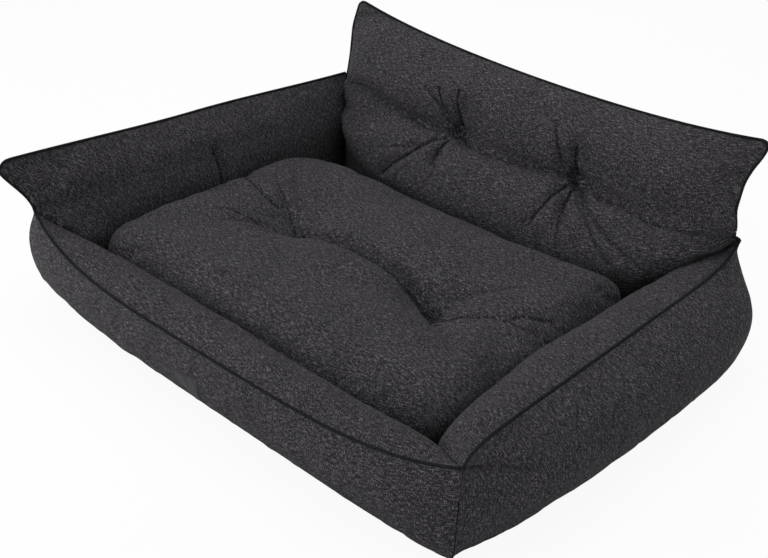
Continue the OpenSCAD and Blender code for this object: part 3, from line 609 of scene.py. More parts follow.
# back: one stuffed wall, its lower and upper parts joined at the tufted crease
backWall = {"crease": (0.037, 0.228), "thick": 0.042, "lean": 22, "upper": 0.1583, "earRise": 0.024, "tipRise": 0.010,
            "tilt": 0.007,
            "tufts": [0.39, 0.675], "tuftSpread": 0.034, "tuftPull": 0.022, "belly": 0.178, "bellyHigh": 0.118,
            "steps": 50,
            "edgeLeft": ([-0.044, -0.012, 0.010, 0.035, 0.060, 0.085, 0.115, 0.140], [0, 0.020, 0.026, 0.026, 0.022,
                                                                                      0.017, 0.009, 0.003]),
            "edgeRight": ([-0.010, 0.014, 0.032, 0.045, 0.070, 0.100, 0.130, 0.150, 0.172],
                          [0, 0, 0.007, 0.014, 0.016, 0.018, 0.012, 0.004, 0])}
wallUp = np.array([-math.sin(math.radians(backWall["lean"])), math.cos(math.radians(backWall["lean"]))])
wallIn = np.array([wallUp[1], -wallUp[0]])
crease = np.array(backWall["crease"])
u = sharesFor(tub["length"])
pull = np.max([bell((u - s) * tub["length"], backWall["tuftSpread"]) for s in backWall["tufts"]], axis=0)
half = backWall["thick"] - backWall["tuftPull"] * pull
side = 2 * u - 1
rise = backWall["upper"] + backWall["earRise"] * side ** 2 + backWall["tipRise"] * side ** 4 - backWall["tilt"] * side
top = crease + wallUp * (rise - earDrop(u, tub["length"], 0.016))[:, None]
creaseFront = crease + wallIn * half[:, None]
creaseBack = crease - wallIn * half[:, None]
upperFront = crease + wallUp * 0.075 + wallIn * 0.056
upperBack = crease + wallUp * 0.07 - wallIn * 0.050
topEnd, topLast = top[0], top[-1]
edgeMiddle, edgeLast = mix(crease, topEnd, 0.45), mix(crease, topLast, 0.45)
corner, cornerLast = [0, tub["cornerRim"]], [0, tub["backRightRim"]]
outerKeys = keyRows([tuckEnd, footEnd, footTop, corner, crease, edgeMiddle, topEnd],
                    [tuckMiddle, [tub["footIn"] - 0.012, base], [-0.016, tub["footHigh"]], [-0.036, 0.118],
                     creaseBack, upperBack, top],
                    [tuckEnd, footEnd, footTop, cornerLast, crease, edgeLast, topLast],
                    [3, 3, 4, 6, 12, 8, 40], u)
outerKeys[:, -1] = top
innerKeys = keyRows([topEnd, edgeMiddle, crease, corner, [reachIn, 0.150], innerFoot, tuckEnd],
                    [top, upperFront, creaseFront, [0.146, 0.196], [backWall["belly"], backWall["bellyHigh"]],
                     [backWall["belly"] - 0.016, base], tuckMiddle],
                    [topLast, edgeLast, crease, cornerLast, [reachIn, 0.150], innerFoot, tuckEnd],
                    [40, 8, 12, (4.5, 10), (3, 8), (3, 8), 3], u)
innerKeys[:, 0] = top
fade = fullness(u, 10)
swellShare = fullness(u, 8)


def backEnd(ring, edge, rim, over):
    # mitred against the side wall below the crease, and the piped edge of the back above it
    height = (ring - crease) @ wallUp
    inset = np.mean([np.interp(height + shift, *edge) for shift in (-0.008, 0, 0.008)], axis=0)
    low = np.maximum(ring[:, 0], 0) * (1 - ease((ring[:, 1] - rim) / over))
    return tub["gap"] + np.maximum(inset, low)


outer = panel(outerKeys, [0 * u, 0 * u, 0.008 * swellShare, 0.010 * swellShare, 0.006 * swellShare, 0.004 * swellShare],
              backWall["steps"], 8, fade)
inner = panel(innerKeys, [0.004 * swellShare, 0.006 * swellShare, 0.008 * swellShare, 0.012 * swellShare, 0 * u, 0 * u],
              backWall["steps"], 8, fade)
back, backGrid, backRimAt = sewnWall("backWall", outer, inner, u,
                                     lambda ring: backEnd(ring, backWall["edgeLeft"], tub["cornerRim"], 0.030),
                                     lambda ring: backEnd(ring, backWall["edgeRight"], tub["backRightRim"], 0.016),
                                     tub["length"], atBack)
print("walls sewn")


# ---- piping: a cord sewn into the rim seams (metres)
piping = {"radius": 0.0026, "stand": 0.0008}


def besideRim(grid, at):
    # the rim's points moved out of the section they close
    rim = grid[:, at]
    out = rim - (grid[:, at - 2] + grid[:, at + 2]) / 2
    out /= np.maximum(np.linalg.norm(out, axis=1), 1e-6)[:, None]
    evenOut(out, 6)
    return rim + out * piping["stand"]


def besideEdge(path, across):
    # a path moved sideways in the plane that across is square to
    way = np.gradient(path, axis=0)
    out = np.cross(way, across)
    out /= np.maximum(np.linalg.norm(out, axis=1), 1e-6)[:, None]
    return path + out * piping["stand"]


def thinned(path, least=0.004):
    kept = [path[0]]
    for p in path[1:]:
        if np.linalg.norm(p - kept[-1]) > least:
            kept.append(p)
    return np.array(kept)


def sewnCord(name, path, radius=None, roundness=3):
    bpy.ops.curve.primitive_nurbs_path_add()
    cord = bpy.context.object
    cord.name = name
    cord.data.splines.clear()
    line = cord.data.splines.new("POLY")
    line.points.add(len(path) - 1)
    for point, place in zip(line.points, path):
        point.co = (*place, 1)
    cord.data.bevel_depth = radius or piping["radius"]
    cord.data.bevel_resolution = roundness
    cord.data.use_fill_caps = True
    bpy.ops.object.convert(target="MESH")
    bpy.ops.object.shade_smooth()
    closeAndTurnOut(cord, 0.00001)
    return cord


frontCord = sewnCord("frontRimPiping", thinned(besideRim(frontGrid, rimAt)[1:-1]))
rightPath = thinned(besideRim(rightGrid, rimAt)[1:-1])
rightCord = sewnCord("rightRimPiping", rightPath)
first = leftGrid[0, :rimAt + 1]
leftPath = np.concatenate([first[first[:, 2] > tub["cornerRim"] + 0.006], leftGrid[1:-1, rimAt]])
leftCord = sewnCord("leftRimPiping", thinned(besideEdge(leftPath, (1, 0, 0))))
footZ = crease[1] + 0.004
first, last = backGrid[0, :backRimAt + 1], backGrid[-1, :backRimAt + 1]
backPath = np.concatenate([first[first[:, 2] > footZ], backGrid[1:-1, backRimAt], last[last[:, 2] > footZ][::-1]])
acrossBack = (0, -wallIn[0], wallIn[1])
backPath = thinned(besideEdge(backPath, acrossBack))
backCord = sewnCord("backRimPiping", backPath)
rise = last[(last[:, 2] > tub["backRightRim"] + 0.001) & (last[:, 2] < footZ - 0.001)]
cornerPath = np.concatenate([[rightPath[-1]], rise + np.array([piping["stand"], -0.001, 0]), [backPath[-1]]])
cornerPath = thinned(cornerPath, 0.003)
evenOut(cornerPath, 1)
cornerPath[0] = mix(cornerPath[0], cornerPath[1], 0.2)
cornerPath[-1] = mix(cornerPath[-1], cornerPath[-2], 0.2)
cornerCord = sewnCord("backCornerPiping", cornerPath)
for cord, node, body in ((frontCord, "front_rim_piping", "tub"), (rightCord, "right_rim_piping", "tub"),
                         (leftCord, "left_rim_piping", "tub"), (backCord, "back_rim_piping", "back_rest"),
                         (cornerCord, "back_corner_piping", "tub")):
    cord.data.materials.append(pipingCloth)
    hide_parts(node)
    if body != "back_rest":
        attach(cord, body)
print("piping sewn in")


# ---- pillows: two sheets of cloth sewn round their widest line
def shoulderCurve(t, power=2.3):
    return (1 - (1 - np.clip(t, 0, 1)) ** power) ** (1 / 2.2)


def pillow(name, spec):
    # a pillow between spec's low and high corners, its two sheets sewn together at their widest line
    low, high = np.array(spec["low"]), np.array(spec["high"])
    mid, half = (low + high) / 2, (high - low) / 2
    rise = spec["crown"] - spec["belly"]
    shares, arcs = [], []
    for h in half:
        d = np.linspace(0, h, 1500)
        run = np.concatenate([[0],
                              np.cumsum(np.hypot(np.diff(d), np.diff(rise * shoulderCurve(d / spec["shoulder"]))))])
        count = int(round(run[-1] / spec["step"]))
        inwards = np.interp(np.linspace(0, run[-1], count + 1), run, d)
        side = (h - inwards) / h
        shares.append(np.concatenate([-side, side[-2::-1]]))
        arcs.append(np.linspace(0, 2 * run[-1], 2 * count + 1))
    s, t = np.meshgrid(shares[0], shares[1], indexing="ij")
    widest = np.maximum(np.maximum(abs(s), abs(t)), 1e-9)
    bx, by = s / widest * half[0], t / widest * half[1]
    r = np.choose((s > 0) + 2 * (t > 0), np.ones(4) * spec["corner"])
    cx, cy = np.clip(bx, r - half[0], half[0] - r), np.clip(by, r - half[1], half[1] - r)
    length = np.maximum(np.hypot(bx - cx, by - cy), 1e-9)
    x = s * half[0] + (cx + (bx - cx) / length * r - bx) * widest ** 3
    y = t * half[1] + (cy + (by - cy) / length * r - by) * widest ** 3
    qx, qy = abs(x) - (half[0] - r), abs(y) - (half[1] - r)
    inside = np.maximum(r - np.minimum(np.maximum(qx, qy), 0) - np.hypot(np.maximum(qx, 0), np.maximum(qy, 0)), 0)
    drawn = 1 - spec["draw"] * widest ** 4 * np.minimum(1 - s ** 2, 1 - t ** 2 + 0 * s) / half.min()
    x, y = x * drawn + mid[0], y * drawn + mid[1]
    up = spec["base"] + spec["belly"] + rise * shoulderCurve(inside / spec["shoulder"])
    down = spec["base"] + spec["belly"] * (1 - shoulderCurve(inside / spec["foot"]))
    n, m = x.shape
    index = np.arange(n * m).reshape(n, m)
    lower = index + n * m
    for line in (np.s_[0, :], np.s_[-1, :], np.s_[:, 0], np.s_[:, -1]):
        lower[line] = index[line]
    points = np.concatenate([np.stack([x, y, up], 2).reshape(-1, 3), np.stack([x, y, down], 2).reshape(-1, 3)])
    faces, uvs = [], []
    for sheet, order in ((index, 1), (lower, -1)):
        for i in range(n - 1):
            for j in range(m - 1):
                corners = [(i, j), (i + 1, j), (i + 1, j + 1), (i, j + 1)][::order]
                faces.append([int(sheet[c]) for c in corners])
                uvs += [(arcs[0][a], arcs[1][b]) for a, b in corners]
    piece = meshPiece(name, points, faces, uvs)
    work = bmesh.new()
    work.from_mesh(piece.data)
    bmesh.ops.delete(work, geom=[v for v in work.verts if not v.link_faces], context="VERTS")
    work.to_mesh(piece.data)
    work.free()
    closeAndTurnOut(piece)
    return piece


mattress = {"low": (-0.4400, -0.3515), "high": (0.3905, 0.2450), "base": 0.0150, "belly": 0.082, "crown": 0.1390,
            "corner": (0.074, 0.074, 0.074, 0.045), "shoulder": 0.058, "foot": 0.05, "step": 0.0085, "draw": 0.006,
            "tufts": [(-0.1895, -0.0425), (0.167, -0.0745)], "tuftTop": 0.1025, "valley": 0.023, "valleyWide": 0.034,
            "dipShares": (0.34, 0.66), "dipNarrow": 0.016, "dipWide": 0.075, "cap": 0.012,
            "valleyLine": [(-0.188, -0.045), (-0.136, -0.043), (-0.104, -0.041), (-0.046, -0.034), (-0.002, -0.038),
                           (0.046, -0.043), (0.094, -0.055), (0.132, -0.067), (0.169, -0.077)],
            "folds": [([(-0.188, -0.045), (-0.213, -0.033), (-0.251, -0.013), (-0.294, 0.012), (-0.349, 0.044)],
                       0.003, 0.024, 0.004),
                      ([(-0.268, -0.015), (-0.269, -0.027), (-0.314, -0.024), (-0.353, -0.014), (-0.381, -0.006)],
                       0.003, 0.02, 0.008),
                      ([(-0.188, -0.087), (-0.196, -0.092), (-0.235, -0.095), (-0.272, -0.107), (-0.311, -0.126),
                        (-0.322, -0.142)], 0.0024, 0.013, 0.003),
                      ([(-0.188, -0.045), (-0.194, -0.101), (-0.214, -0.129), (-0.229, -0.164)], 0.004, 0.012, 0),
                      ([(0.169, -0.077), (0.201, -0.077), (0.239, -0.063), (0.270, -0.053), (0.302, -0.045),
                        (0.322, -0.021), (0.358, 0.020)], 0.0034, 0.024, 0.006),
                      ([(0.298, -0.047), (0.320, -0.046), (0.347, -0.041), (0.378, -0.023)], 0.0026, 0.012, 0.006),
                      ([(0.169, -0.077), (0.225, -0.152), (0.242, -0.181)], 0.003, 0.01, 0),
                      ([(0.008, -0.300), (0.012, -0.345)], 0.007, 0.008, 0.004)],
            "crease": (0.0034, 0.028),
            "lower": [(-0.42, 0.235, 0.10, 0.09, 0.022), (-0.42, -0.12, 0.10, 0.20, -0.007)]}
bed = pillow("mattress", mattress)
tufts = np.array(mattress["tufts"])
crownZ = mattress["base"] + mattress["crown"]
co = coordsOf(bed)
isTop = co[:, 2] > mattress["base"] + mattress["belly"] + 0.004
near = np.min(np.linalg.norm(co[:, None, :2] - tufts[None], axis=2), axis=1)
away, _ = toLine(co[:, :2], mattress["valleyLine"])
dip = (crownZ - mattress["tuftTop"]) * (mattress["dipShares"][0] * np.exp(-near / mattress["dipNarrow"])
                                        + mattress["dipShares"][1] * bell(near, mattress["dipWide"]))
dip = np.maximum(dip, mattress["valley"] * bell(away, mattress["valleyWide"]))
for px, py, spanX, spanY, depth in mattress["lower"]:
    dip += depth * np.exp(-((co[:, 0] - px) / spanX) ** 2 - ((co[:, 1] - py) / spanY) ** 2)
co[:, 2] -= np.where(isTop, dip * ease((co[:, 2] - mattress["base"] - mattress["belly"]) / 0.02), 0)
setCoords(bed, co)
held = np.where(co[:, 2] < mattress["base"] + mattress["belly"] + 0.002, 1.0, 0.0)
held[isTop & (near < 0.009)] = 1
swell(bed, held, 4.0, 0.02, mattress["cap"])
subdivide(bed)
creaseWidth, creaseDepth = mattress["crease"]
bedFolds = [(mattress["valleyLine"], creaseWidth, creaseDepth, creaseDepth)] + mattress["folds"]
fromAbove = np.array([[1, 0], [0, 1], [0, 0]])
for reachNow in (0.014, 0.009, 0.005):
    refineNear(bed, bedFolds, reachNow, fromAbove)
co = coordsOf(bed)
isTop = co[:, 2] > mattress["base"] + mattress["belly"] + 0.006
plan = co[:, :2]
groove = foldDepth(plan, bedFolds)
near = np.min(np.linalg.norm(plan[:, None] - tufts[None], axis=2), axis=1)
nor = normalsOf(bed)
soft = ripple(co, 0.085, 0.0022, 1) + ripple(co, 0.03, 0.0006, 2)
co += nor * np.where(isTop, soft * np.clip(near / 0.04, 0, 1), 0)[:, None]
co[:, 2] -= np.where(isTop, groove, 0)
co[:, 2] = np.maximum(co[:, 2], mattress["base"])
low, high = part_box("mattress_zip_tape")
atTape = (np.exp(-((co[:, 2] - (low[2] + high[2]) / 2) / 0.014) ** 4) * (co[:, 1] > 0.15)
          * ease((co[:, 0] - low[0] + 0.03) / 0.03) * ease((high[0] + 0.03 - co[:, 0]) / 0.03))
co[:, 1] = mix(co[:, 1], low[1] - 0.0002, atTape)
setCoords(bed, co)
makeActive(bed)
bpy.ops.object.shade_smooth()
bed.data.materials.append(melange)
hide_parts("mattress_cover", "mattress_fill")
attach(bed, "mattress")
print("mattress filled")

# ---- walls: blown up a little between their seams, then folded
wrinkles = {"pressure": 3.0, "slack": {"frontWall": 0.01, "rightWall": 0.012, "leftWall": 0.02, "backWall": 0.02},
            "cap": 0.008, "lump": 0.0022, "pucker": 0.0012, "backDeeper": 2.2, "backWider": 0.92,
            "slope": (0.64, 0.77), "tuftDeep": 0.006, "tuftWide": 0.014, "tuftHeld": 0.012,
            "creaseHigh": 0.236, "creaseHalf": 0.008, "creaseHeld": 0.4,
            "rightWall": [([(0.505, -0.412, 0.168), (0.522, -0.362, 0.148), (0.543, -0.312, 0.132),
                            (0.565, -0.262, 0.117), (0.580, -0.200, 0.100)], 0.0026, 0.014, 0)],
            "leftWall": [([(-0.45, -0.022, 0.200), (-0.45, -0.018, 0.165), (-0.45, -0.020, 0.132)], 0.0026, 0.024,
                          0.012)],
            "leftEar": [([(-0.488, -0.46, 0.267), (-0.466, -0.46, 0.287)], 0.004, 0.004, 0.001)],
            "backFolds": [([(-0.439, 0.380, 0.240), (-0.370, 0.355, 0.258), (-0.306, 0.344, 0.248),
                            (-0.178, 0.337, 0.242), (-0.108, 0.359, 0.239)], 0.0035, 0.012, 0.012),
                          ([(-0.108, 0.359, 0.239), (-0.074, 0.339, 0.234), (-0.017, 0.329, 0.237),
                            (0.095, 0.337, 0.241), (0.176, 0.355, 0.243)], 0.0035, 0.010, 0.010),
                          ([(0.176, 0.355, 0.243), (0.243, 0.330, 0.237), (0.298, 0.329, 0.236), (0.354, 0.326, 0.229),
                            (0.400, 0.339, 0.220), (0.457, 0.381, 0.205)], 0.0035, 0.012, 0.006),
                          ([(-0.114, 0.359, 0.246), (-0.132, 0.353, 0.259), (-0.154, 0.351, 0.274),
                            (-0.183, 0.356, 0.296), (-0.217, 0.363, 0.312)], 0.0026, 0.012, 0.003),
                          ([(-0.114, 0.359, 0.246), (-0.136, 0.353, 0.267), (-0.162, 0.354, 0.290),
                            (-0.183, 0.367, 0.318)], 0.0024, 0.010, 0.004),
                          ([(-0.109, 0.362, 0.250), (-0.122, 0.358, 0.286), (-0.131, 0.362, 0.307),
                            (-0.134, 0.373, 0.325)], 0.0024, 0.010, 0.004),
                          ([(-0.130, 0.340, 0.235), (-0.162, 0.307, 0.223), (-0.194, 0.273, 0.190),
                            (-0.241, 0.249, 0.142)], 0.0035, 0.012, 0.012),
                          ([(-0.191, 0.291, 0.210), (-0.234, 0.278, 0.196)], 0.0026, 0.006, 0.002),
                          ([(-0.122, 0.335, 0.235), (-0.126, 0.303, 0.217), (-0.126, 0.287, 0.203),
                            (-0.114, 0.271, 0.187), (-0.112, 0.259, 0.172)], 0.0026, 0.009, 0.003),
                          ([(0.168, 0.335, 0.232), (0.158, 0.300, 0.211), (0.150, 0.269, 0.185),
                            (0.143, 0.254, 0.163)], 0.0026, 0.008, 0.004),
                          ([(0.174, 0.358, 0.246), (0.141, 0.360, 0.262), (0.124, 0.357, 0.294),
                            (0.101, 0.380, 0.332)], 0.0026, 0.013, 0.002),
                          ([(0.174, 0.358, 0.246), (0.166, 0.361, 0.274), (0.162, 0.363, 0.302)], 0.0024, 0.011, 0.004),
                          ([(0.150, 0.358, 0.250), (0.125, 0.356, 0.270), (0.100, 0.353, 0.287)], 0.0035, 0.007, 0),
                          ([(0.186, 0.350, 0.242), (0.201, 0.336, 0.239), (0.242, 0.300, 0.217), (0.286, 0.282, 0.199),
                            (0.330, 0.270, 0.182), (0.381, 0.268, 0.158), (0.407, 0.284, 0.146)], 0.0035, 0.014, 0.003),
                          ([(0.190, 0.345, 0.240), (0.203, 0.330, 0.235), (0.242, 0.290, 0.208), (0.266, 0.274, 0.191),
                            (0.298, 0.259, 0.170), (0.331, 0.255, 0.149)], 0.0026, 0.009, 0.004),
                          ([(0.180, 0.345, 0.238), (0.183, 0.326, 0.229), (0.187, 0.299, 0.214), (0.199, 0.272, 0.188),
                            (0.215, 0.248, 0.139)], 0.0026, 0.010, 0.003)],
            "backTufts": [(-0.108, 0.359, 0.239), (0.176, 0.355, 0.243)]}
for piece, grid, at in ((front, frontGrid, rimAt), (right, rightGrid, rimAt), (left, leftGrid, rimAt),
                        (back, backGrid, backRimAt)):
    closeAndTurnOut(piece)
    co = coordsOf(piece)
    rim = np.concatenate([grid[:, at], grid[0], grid[-1]])
    if piece is back:
        rim = np.concatenate([rim, wrinkles["backTufts"]])
    fromSeam = np.array([np.min(np.linalg.norm(rim - p, axis=1)) for p in co])
    held = np.where((fromSeam < 0.0005) | (co[:, 2] < tub["base"] + 0.001), 1.0, 0.0)
    if piece is back:
        held[np.min([np.linalg.norm(co - t, axis=1) for t in wrinkles["backTufts"]], axis=0) < wrinkles["tuftHeld"]] = 1
        foldLine = np.abs(co[:, 2] - wrinkles["creaseHigh"]) < wrinkles["creaseHalf"]
        held[foldLine & (held < 1)] = wrinkles["creaseHeld"]
    swell(piece, held, wrinkles["pressure"], wrinkles["slack"][piece.name], wrinkles["cap"])
    subdivide(piece)
    slopeY, slopeZ = wrinkles["slope"]
    flatten = np.array([[1, 0], [0, slopeY], [0, slopeZ]])
    if piece is back:
        backFolds = [(np.array(line) @ flatten, w * wrinkles["backWider"], a * wrinkles["backDeeper"],
                      b * wrinkles["backDeeper"])
                     for line, w, a, b in wrinkles["backFolds"]]
        for reachNow in (0.013, 0.008, 0.0045):
            refineNear(piece, backFolds, reachNow, flatten)
    wallFolds = [([(np.array(line)[:, seen], w, a, b) for line, w, a, b in wrinkles[folds]], seen, side)
                 for folds, wall, seen, side in (("rightWall", right, [1, 2], (1, 0, 0)), ("leftWall", left, [1, 2],
                                                                                           (1, 0, 0)),
                                                 ("leftEar", left, [0, 2], (0, -1, 0))) if piece is wall]
    for lines, seen, _ in wallFolds:
        for reachNow in (0.012, 0.006):
            refineNear(piece, lines, reachNow, np.eye(3)[:, seen])
    co, nor = coordsOf(piece), normalsOf(piece)
    rim = thinned(grid[:, at])
    fromRim, alongRim = toLine(co, rim)
    free = np.clip(fromRim / 0.02, 0, 1) * np.clip((co[:, 2] - tub["base"]) / 0.02, 0, 1)
    lumps = ripple(co, 0.09, wrinkles["lump"], 3) + ripple(co, 0.028, wrinkles["lump"] * 0.25, 4)
    along = alongRim * np.linalg.norm(np.diff(rim, axis=0), axis=1).sum()
    gathers = np.array([noise.noise(Vector((s / 0.011, 4.0, 0))) for s in along])
    co += nor * (lumps * free + wrinkles["pucker"] * gathers * np.exp(-fromRim / 0.022) * np.clip(fromRim / 0.004, 0,
                                                                                                  1))[:, None]
    if piece is back:
        outward = np.clip(-nor[:, 1] * slopeY + nor[:, 2] * slopeZ, 0, 1) ** 0.5
        onFront = np.where((co[:, 1] < 0.425 - (0.037 - 0.40 * (co[:, 2] - 0.228)) - 0.004)
                           | (co[:, 2] < 0.2) & (co[:, 1] < 0.40), 1.0, 0.0)
        groove = foldDepth(co @ flatten, backFolds)
        for t in wrinkles["backTufts"]:
            groove += wrinkles["tuftDeep"] * bell(np.linalg.norm((co - t) @ flatten, axis=1), wrinkles["tuftWide"])
        co -= nor * (groove * onFront * outward)[:, None]
    for lines, seen, side in wallFolds:
        co -= nor * (foldDepth(co[:, seen], lines) * np.clip(nor @ side, 0, 1))[:, None]
    setCoords(piece, co)
    makeActive(piece)
    bpy.ops.object.shade_smooth()
    piece.data.materials.append(melange)
    if piece is not back:
        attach(piece, "tub")
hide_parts("front_wall_cover", "front_wall_fill")
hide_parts("right_wall_cover", "right_wall_fill")
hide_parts("left_wall_cover", "left_wall_fill")
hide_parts("back_lower_cover", "back_lower_fill", "back_upper_cover", "back_upper_fill")

print("walls filled")


# ---- ties: bar tacks of button thread that pull the tufts in
def surfaceOf(piece):
    mesh = piece.data
    return BVHTree.FromPolygons([v.co[:] for v in mesh.vertices], [p.vertices[:] for p in mesh.polygons])


def barTacks(name, places, tie):
    # places: (point outside the cloth, direction to the cloth, surface)
    strands = []
    for start, way, skin in places:
        point = skin.ray_cast(Vector(start), Vector(way), 0.2)[0]
        out = -Vector(way).normalized()
        flat = out.orthogonal().normalized()
        for k in range(tie["strands"]):
            along = Matrix.Rotation(math.pi * k / tie["strands"] + 0.3, 3, out) @ flat
            beside = out.cross(along) * (0.0004 * (k - 1))
            path = [point + beside + along * (t * tie["long"] / 2) + out * (tie["stand"] * (1 - t * t) - 0.0006
                                                                            + 0.0005 * k)
                    for t in np.linspace(-1, 1, 9)]
            strands.append(sewnCord(name, np.array([p[:] for p in path]), tie["radius"]))
    return joined(strands, buttonThread)


tie = {"strands": 3, "long": 0.007, "radius": 0.0005, "stand": 0.0008}
# waxed polyester button thread: near black, a little glossy, with a fine twist
buttonThread = wovenCloth("waxedButtonThread", "#1a191b", "#222124", "#3a393c", 0.3, 1.0, False)
buttonThread.node_tree.nodes["Principled BSDF"].inputs["Roughness"].default_value = 0.6
backSkin, bedSkin = surfaceOf(back), surfaceOf(bed)
intoBack = Vector((0, wallIn[0], -wallIn[1]))
places = []
for spot in wrinkles["backTufts"]:
    places.append((Vector(spot) - intoBack * 0.08, intoBack, backSkin))
    places.append((Vector(spot) + intoBack * 0.16, -intoBack, backSkin))
backTies = barTacks("backTuftTies", places, tie)
places = []
for spot in mattress["tufts"]:
    places.append(((*spot, 0.25), (0, 0, -1), bedSkin))
    places.append(((*spot, -0.05), (0, 0, 1), bedSkin))
bedTies = barTacks("mattressTuftTies", places, tie)
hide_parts("back_tuft_ties")
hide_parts("mattress_tuft_ties")
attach(bedTies, "mattress")
for piece in (back, backCord, backTies):
    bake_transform(piece)
print("tufts tied")


# ---- floor pad: thin quilted pad under the mattress
floorPad = {"low": (-0.437, -0.350), "high": (0.389, 0.252), "base": 0.0027, "belly": 0.005, "crown": 0.0115,
            "corner": 0.046,
            "shoulder": 0.020, "foot": 0.020, "step": 0.011, "draw": 0.002, "quilt": 0.085, "quiltDepth": 0.0045}
pad = pillow("floorPad", floorPad)
subdivide(pad)
co = coordsOf(pad)
isTop = co[:, 2] > floorPad["base"] + floorPad["belly"]
lines = [np.abs((co[:, 0] + turn * co[:, 1]) / math.sqrt(2) % floorPad["quilt"] - floorPad["quilt"] / 2)
         for turn in (1, -1)]
co[:, 2] -= np.where(isTop, floorPad["quiltDepth"] * np.exp(-np.minimum(*lines) / 0.006), 0)
setCoords(pad, co)
makeActive(pad)
bpy.ops.object.shade_smooth()
# plain quilting polyester: dark, matt and closely woven
pad.data.materials.append(wovenCloth("quiltedLiningPolyester", "#151416", "#1f1e21", "#343337", 0.25, 1.2))
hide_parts("floor_pad")
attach(pad, "tub")
print("floor pad quilted")

# ---- under cloth: stretched below the tub and sewn to the feet of the walls
underCloth = {"top": 0.0022, "thick": 0.0012, "inset": 0.006, "along": 70, "over": 60, "dots": 6.0}


def footLine(u, wall, first, last):
    if "footShares" in wall:
        return np.interp(u, wall["footShares"], wall["footOut"])
    return mix(*wall["footOut"], u) * np.where(u < 0.5, fullness(u, first), fullness(u, last))


us, vs = np.linspace(0, 1, underCloth["along"] + 1), np.linspace(0, 1, underCloth["over"] + 1)
uu, vv = np.meshgrid(us, vs, indexing="ij")
inset = tub["footIn"] + underCloth["inset"]
x = mix(-tub["length"] / 2 + inset - footLine(vv, leftWall, 3, 3), tub["length"] / 2 - inset + footLine(vv, rightWall,
                                                                                                        4, 14), uu)
y = mix(-tub["depth"] / 2 + inset - footLine(uu, frontWall, 3, 8), tub["depth"] / 2 - inset + 0.012 * fullness(uu, 3),
        vv)
nearCorner = np.exp(-np.hypot(uu * tub["length"], vv * tub["depth"]) / 0.03)
x += 0.016 * nearCorner
y += 0.016 * nearCorner
flatPoints = np.stack([x, y, np.full_like(x, underCloth["top"])], 2).reshape(-1, 3)
index = np.arange(x.size).reshape(x.shape)
faces = gridFaces(index)
uvs = [(flatPoints[k][0], flatPoints[k][1]) for face in faces for k in face]
under = meshPiece("underCloth", flatPoints, faces, uvs)
thicken(under, underCloth["thick"])
# non-slip polyester: black cloth with rubbery dots about 6 mm apart
gripCloth, tree = newMaterial("dottedGripPolyester")
uv = addNode(tree, "UVMap", {"uv_map": "weave"})
dots = addNode(tree, "TexVoronoi", {"Scale": 1000 / underCloth["dots"], "Randomness": 0.0}, {"Vector": uv})
edge = addNode(tree, "MapRange", {"From Min": 0.24, "From Max": 0.30, "To Min": 1.0, "To Max": 0.0},
               {"Value": dots.outputs["Distance"]})
threads = addNode(tree, "TexNoise", {"Scale": 700.0, "Detail": 2.0}, {"Vector": uv})
tone = addNode(tree, "Mix", {"data_type": "RGBA", 6: linearColour("#141316"), 7: linearColour("#26252a")}, {0: threads})
spot = addNode(tree, "Mix", {"data_type": "RGBA", 7: linearColour("#09090a")}, {0: edge, 6: tone.outputs[2]})
raised = addNode(tree, "Bump", {"Strength": 0.6, "Distance": 0.0006}, {"Height": edge})
shine = addNode(tree, "MapRange", {"To Min": 0.9, "To Max": 0.45}, {"Value": edge})
grip = addNode(tree, "BsdfPrincipled", {"Specular IOR Level": 0.3}, {"Base Color": spot.outputs[2], "Roughness": shine,
                                                                     "Normal": raised})
addNode(tree, "OutputMaterial", None, {"Surface": grip})
under.data.materials.append(gripCloth)
spanX, spanY = float(np.ptp(flatPoints[:, 0])), float(np.ptp(flatPoints[:, 1]))
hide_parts("under_cloth")
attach(under, "tub")

# ---- label: a bare patch laid over the front wall and stitched round
label = {"left": -0.0705, "right": -0.0060, "topLeft": 0.0845, "topRight": 0.0900, "foot": 0.0385, "across": 36,
         "up": 26,
         "stand": 0.0012, "thick": 0.0011, "edge": 0.0003, "seamIn": 0.003, "stitch": 0.0028, "pitch": 0.0040,
         "thread": 0.0003, "stitchRise": 0.0004, "stitchSink": 0.0001}
frontSkin = surfaceOf(front)


def onLabel(s, t, stand):
    # s from left to right, t from foot to top, both 0 to 1
    x = mix(label["left"], label["right"], s)
    z = mix(label["foot"], mix(label["topLeft"], label["topRight"], s), t)
    point = frontSkin.ray_cast(Vector((x, -0.6, z)), Vector((0, 1, 0)), 0.4)[0]
    return np.array(point) + np.array([0, -stand, -0.25 * stand * (1 - t)])


rows = []
for s in np.linspace(0, 1, label["across"] + 1):
    rows.append([onLabel(s, t, label["stand"]) for t in np.linspace(0, 1, label["up"] + 1)])
grid = np.array(rows)
for _ in range(2):  # leather bridges the cloth's small hollows
    grid[1:-1, 1:-1, 1] = (grid[:-2, 1:-1, 1] + grid[2:, 1:-1, 1] + grid[1:-1, :-2, 1] + grid[1:-1, 2:, 1]) / 4
index = np.arange(grid.shape[0] * grid.shape[1]).reshape(grid.shape[:2])
faces = gridFaces(index)
flat = grid.reshape(-1, 3)
patch = meshPiece("labelPatch", flat, faces, [(flat[k][0], flat[k][2]) for face in faces for k in face])
thicken(patch, label["thick"])
edgeRound = patch.modifiers.new("edgeRound", "BEVEL")
edgeRound.width = label["edge"]
edgeRound.segments = 2
edgeRound.limit_method = "ANGLE"
bpy.ops.object.modifier_apply(modifier=edgeRound.name)
bpy.ops.object.shade_smooth_by_angle(angle=math.radians(40))
